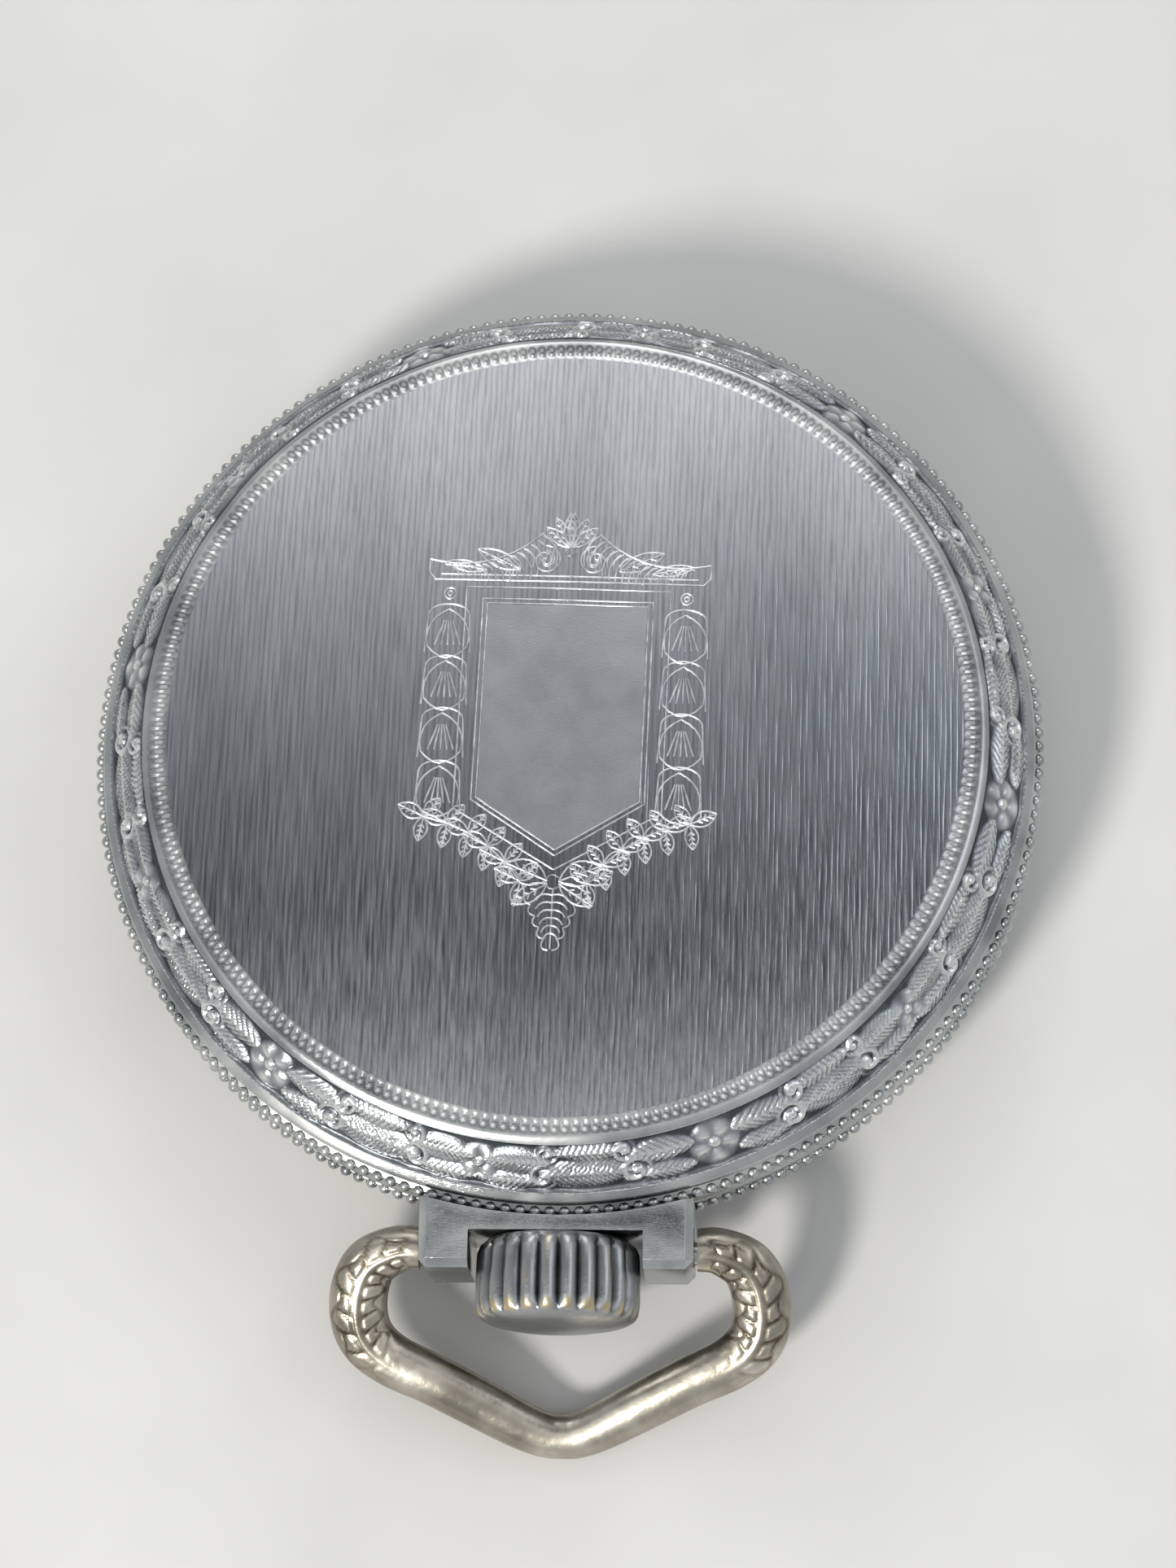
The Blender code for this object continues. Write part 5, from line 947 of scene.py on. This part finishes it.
def dial_bar(bm, clockwise, inner, outer, width, centre=(0.0, 0.0)):
    """A thin printed bar on the dial's front."""
    middle = clock_place(clockwise, (inner + outer) / 2, centre)
    turn = Matrix.Rotation(radians(clockwise), 4, "Z")
    size = Matrix.Diagonal((width, outer - inner, 0.03, 1.0))
    place = Matrix.Translation((middle.x, middle.y, DIAL_LOW.z))
    bmesh.ops.create_cube(bm, size=1.0, matrix=place @ turn @ size)


def dial_number(text, clockwise, radius, height, centre=(0.0, 0.0)):
    """A printed number, upright when the crown is up."""
    curve = bpy.data.curves.new(f"number_{text}", "FONT")
    curve.body = text
    curve.size = height * MM
    curve.extrude = 0.012 * MM
    curve.align_x = "CENTER"
    curve.align_y = "CENTER"
    maker = bpy.data.objects.new("number", curve)
    bpy.context.scene.collection.objects.link(maker)
    graph = bpy.context.evaluated_depsgraph_get()
    mesh = bpy.data.meshes.new_from_object(maker.evaluated_get(graph))
    bpy.data.objects.remove(maker)
    place = clock_place(clockwise, radius, centre)
    centre_mm = Vector((place.x, place.y, DIAL_LOW.z - 0.004))
    mesh.transform(Matrix.Translation(centre_mm * MM) @ Matrix.Rotation(pi, 4, "X"))
    mesh.materials.clear()
    mesh.materials.append(INK)
    obj = bpy.data.objects.new(f"dial_number_{text}_{round(clockwise)}", mesh)
    bpy.context.scene.collection.objects.link(obj)
    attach(obj, "case")


def make_dial_print():
    """The minute track, the numerals and the small seconds dial."""
    view = span("bezel")[1].x - 4.7
    track = view - 1.3
    seconds_at = joint_at["seconds_turn"].xy
    bars = bmesh.new()
    for minute in range(60):
        strong = minute % 5 == 0
        dial_bar(bars, minute * 6, track - 0.9, track, 0.28 if strong else 0.1)
        dial_bar(bars, minute * 6, 3.9, 4.3 if not strong else 4.5, 0.08, seconds_at)
    object_from("dial_tracks", bars, "case", INK)
    rings = (("outer", track, (0, 0)), ("inner", track - 0.9, (0, 0)), ("seconds", 3.9, seconds_at))
    for name, radius, centre in rings:
        circle = spun([(radius, -0.015), (radius + 0.07, -0.015), (radius + 0.07, 0.01), (radius, 0.01)], 180)
        bmesh.ops.translate(circle, verts=circle.verts[:], vec=(centre[0], centre[1], DIAL_LOW.z))
        object_from(f"dial_ring_{name}", circle, "case", INK)
    for hour in range(1, 13):
        if hour != 6:
            dial_number(str(hour), hour * 30, track - 3.0, 3.6)
    for value in (15, 30, 45, 60):
        dial_number(str(value), value * 6, 3.0, 1.15, seconds_at)


# ---------------------------------------------------------------- stage


def area_lamp(name, place, aim, size, watts, colour):
    lamp = bpy.data.lights.new(name, "AREA")
    lamp.shape = "DISK"
    lamp.size = size
    lamp.energy = watts
    lamp.color = linear(colour)[:3]
    obj = bpy.data.objects.new(name, lamp)
    obj.location = place
    obj.rotation_mode = "QUATERNION"
    obj.rotation_quaternion = (Vector(aim) - Vector(place)).to_track_quat("-Z", "Y")
    bpy.context.scene.collection.objects.link(obj)


def make_stage():
    """A pale floor under the watch and soft lamps."""
    bm = bmesh.new()
    bmesh.ops.create_grid(bm, x_segments=1, y_segments=1, size=1.5)
    mesh = bpy.data.meshes.new("floor")
    bm.to_mesh(mesh)
    bm.free()
    floor_material, tree, shader, where = shader_for("paper_matt", 0.0, 0.9)
    colour = ramp(tree, noise(tree, where, 0.05, 3.0), (0.3, "#bdbdbb"), (0.7, "#c6c6c4"))
    tree.links.new(colour, shader.inputs["Base Color"])
    mesh.materials.append(floor_material)
    floor = bpy.data.objects.new("floor", mesh)
    floor.location = (0, 0, cad_box[0].z - 0.00005)
    bpy.context.scene.collection.objects.link(floor)
    area_lamp("key", (-0.25, -0.4, 0.4), (0, 0, 0), 0.12, 3.4, "#fffaf2")
    area_lamp("fill", (0.4, 0.1, 0.45), (0, 0, 0), 0.35, 0.4, "#f2f6ff")
    area_lamp("top", (0.0, 0.45, 0.3), (0, 0, 0), 0.3, 0.5, "#ffffff")


def make_world():
    """A soft grey sky, brighter overhead, for the lamps' fill and the metal's reflections."""
    world = bpy.data.worlds.new("studio")
    world.use_nodes = True
    tree = world.node_tree
    tree.nodes.clear()
    where = add(tree, "ShaderNodeTexCoord").outputs["Generated"]
    toward = add(tree, "ShaderNodeSeparateXYZ", {"Vector": where})
    along = spread(tree, toward.outputs["Y"], -1.0, 1.0, 0.0, 1.0)
    overhead = ramp(
        tree, along, (0.0, "#d5d8da"), (0.3, "#c9ccce"), (0.47, "#ffffff"), (0.52, "#d8dadc"), (0.56, "#1c1e22"),
        (0.6, "#202327"), (0.64, "#7d8185"), (0.7, "#9b9ea1"), (0.75, "#ffffff"), (0.9, "#ffffff"), (1.0, "#b0b3b6"),
    )
    high = spread(tree, toward.outputs["Z"], 0.5, 0.8, 0.0, 1.0)
    sky = add(tree, "ShaderNodeMix", {0: high, 7: overhead}, data_type="RGBA")
    sky.inputs[6].default_value = linear("#b4b7b9")
    shown = add(tree, "ShaderNodeBackground", {"Color": sky.outputs[2]}, Strength=1.25)
    behind = add(tree, "ShaderNodeBackground", Strength=1.0)
    behind.inputs["Color"].default_value = linear("#cfcfcd")
    camera_ray = add(tree, "ShaderNodeLightPath").outputs["Is Camera Ray"]
    mixed = add(tree, "ShaderNodeMixShader", {0: camera_ray, 1: shown.outputs[0], 2: behind.outputs[0]})
    add(tree, "ShaderNodeOutputWorld", {"Surface": mixed.outputs[0]})
    bpy.context.scene.world = world


def make_camera():
    """The camera above the watch's back, on the pendant's side and a little to its right."""
    place = Vector((12.43, -57.72, 184.79)) * MM
    aim = Vector((1.145, -1.983, 7.8)) * MM
    data = bpy.data.cameras.new("camera")
    data.lens = 80.33
    data.sensor_width = 36
    data.clip_start = 0.01
    camera = bpy.data.objects.new("camera", data)
    camera.location = place
    camera.rotation_mode = "QUATERNION"
    ahead = (aim - place).normalized()
    right = ahead.cross(Vector((0, 1, 0))).normalized()
    level = Matrix((right, right.cross(ahead), -ahead)).transposed()
    camera.rotation_quaternion = (level @ Matrix.Rotation(radians(1.0945), 3, "Z")).to_quaternion()
    bpy.context.scene.collection.objects.link(camera)
    bpy.context.scene.camera = camera


def main():
    dress_cad_nodes()
    make_border()
    make_field()
    make_back_rim()
    make_shield_field()
    make_shield()
    make_band()
    make_bezel()
    softened("pendant", "case", 0.12, POLISHED)
    make_crown()
    make_bow()
    make_dial_print()
    make_stage()
    make_world()
    make_camera()
    bpy.context.scene.view_settings.view_transform = "Standard"


main()
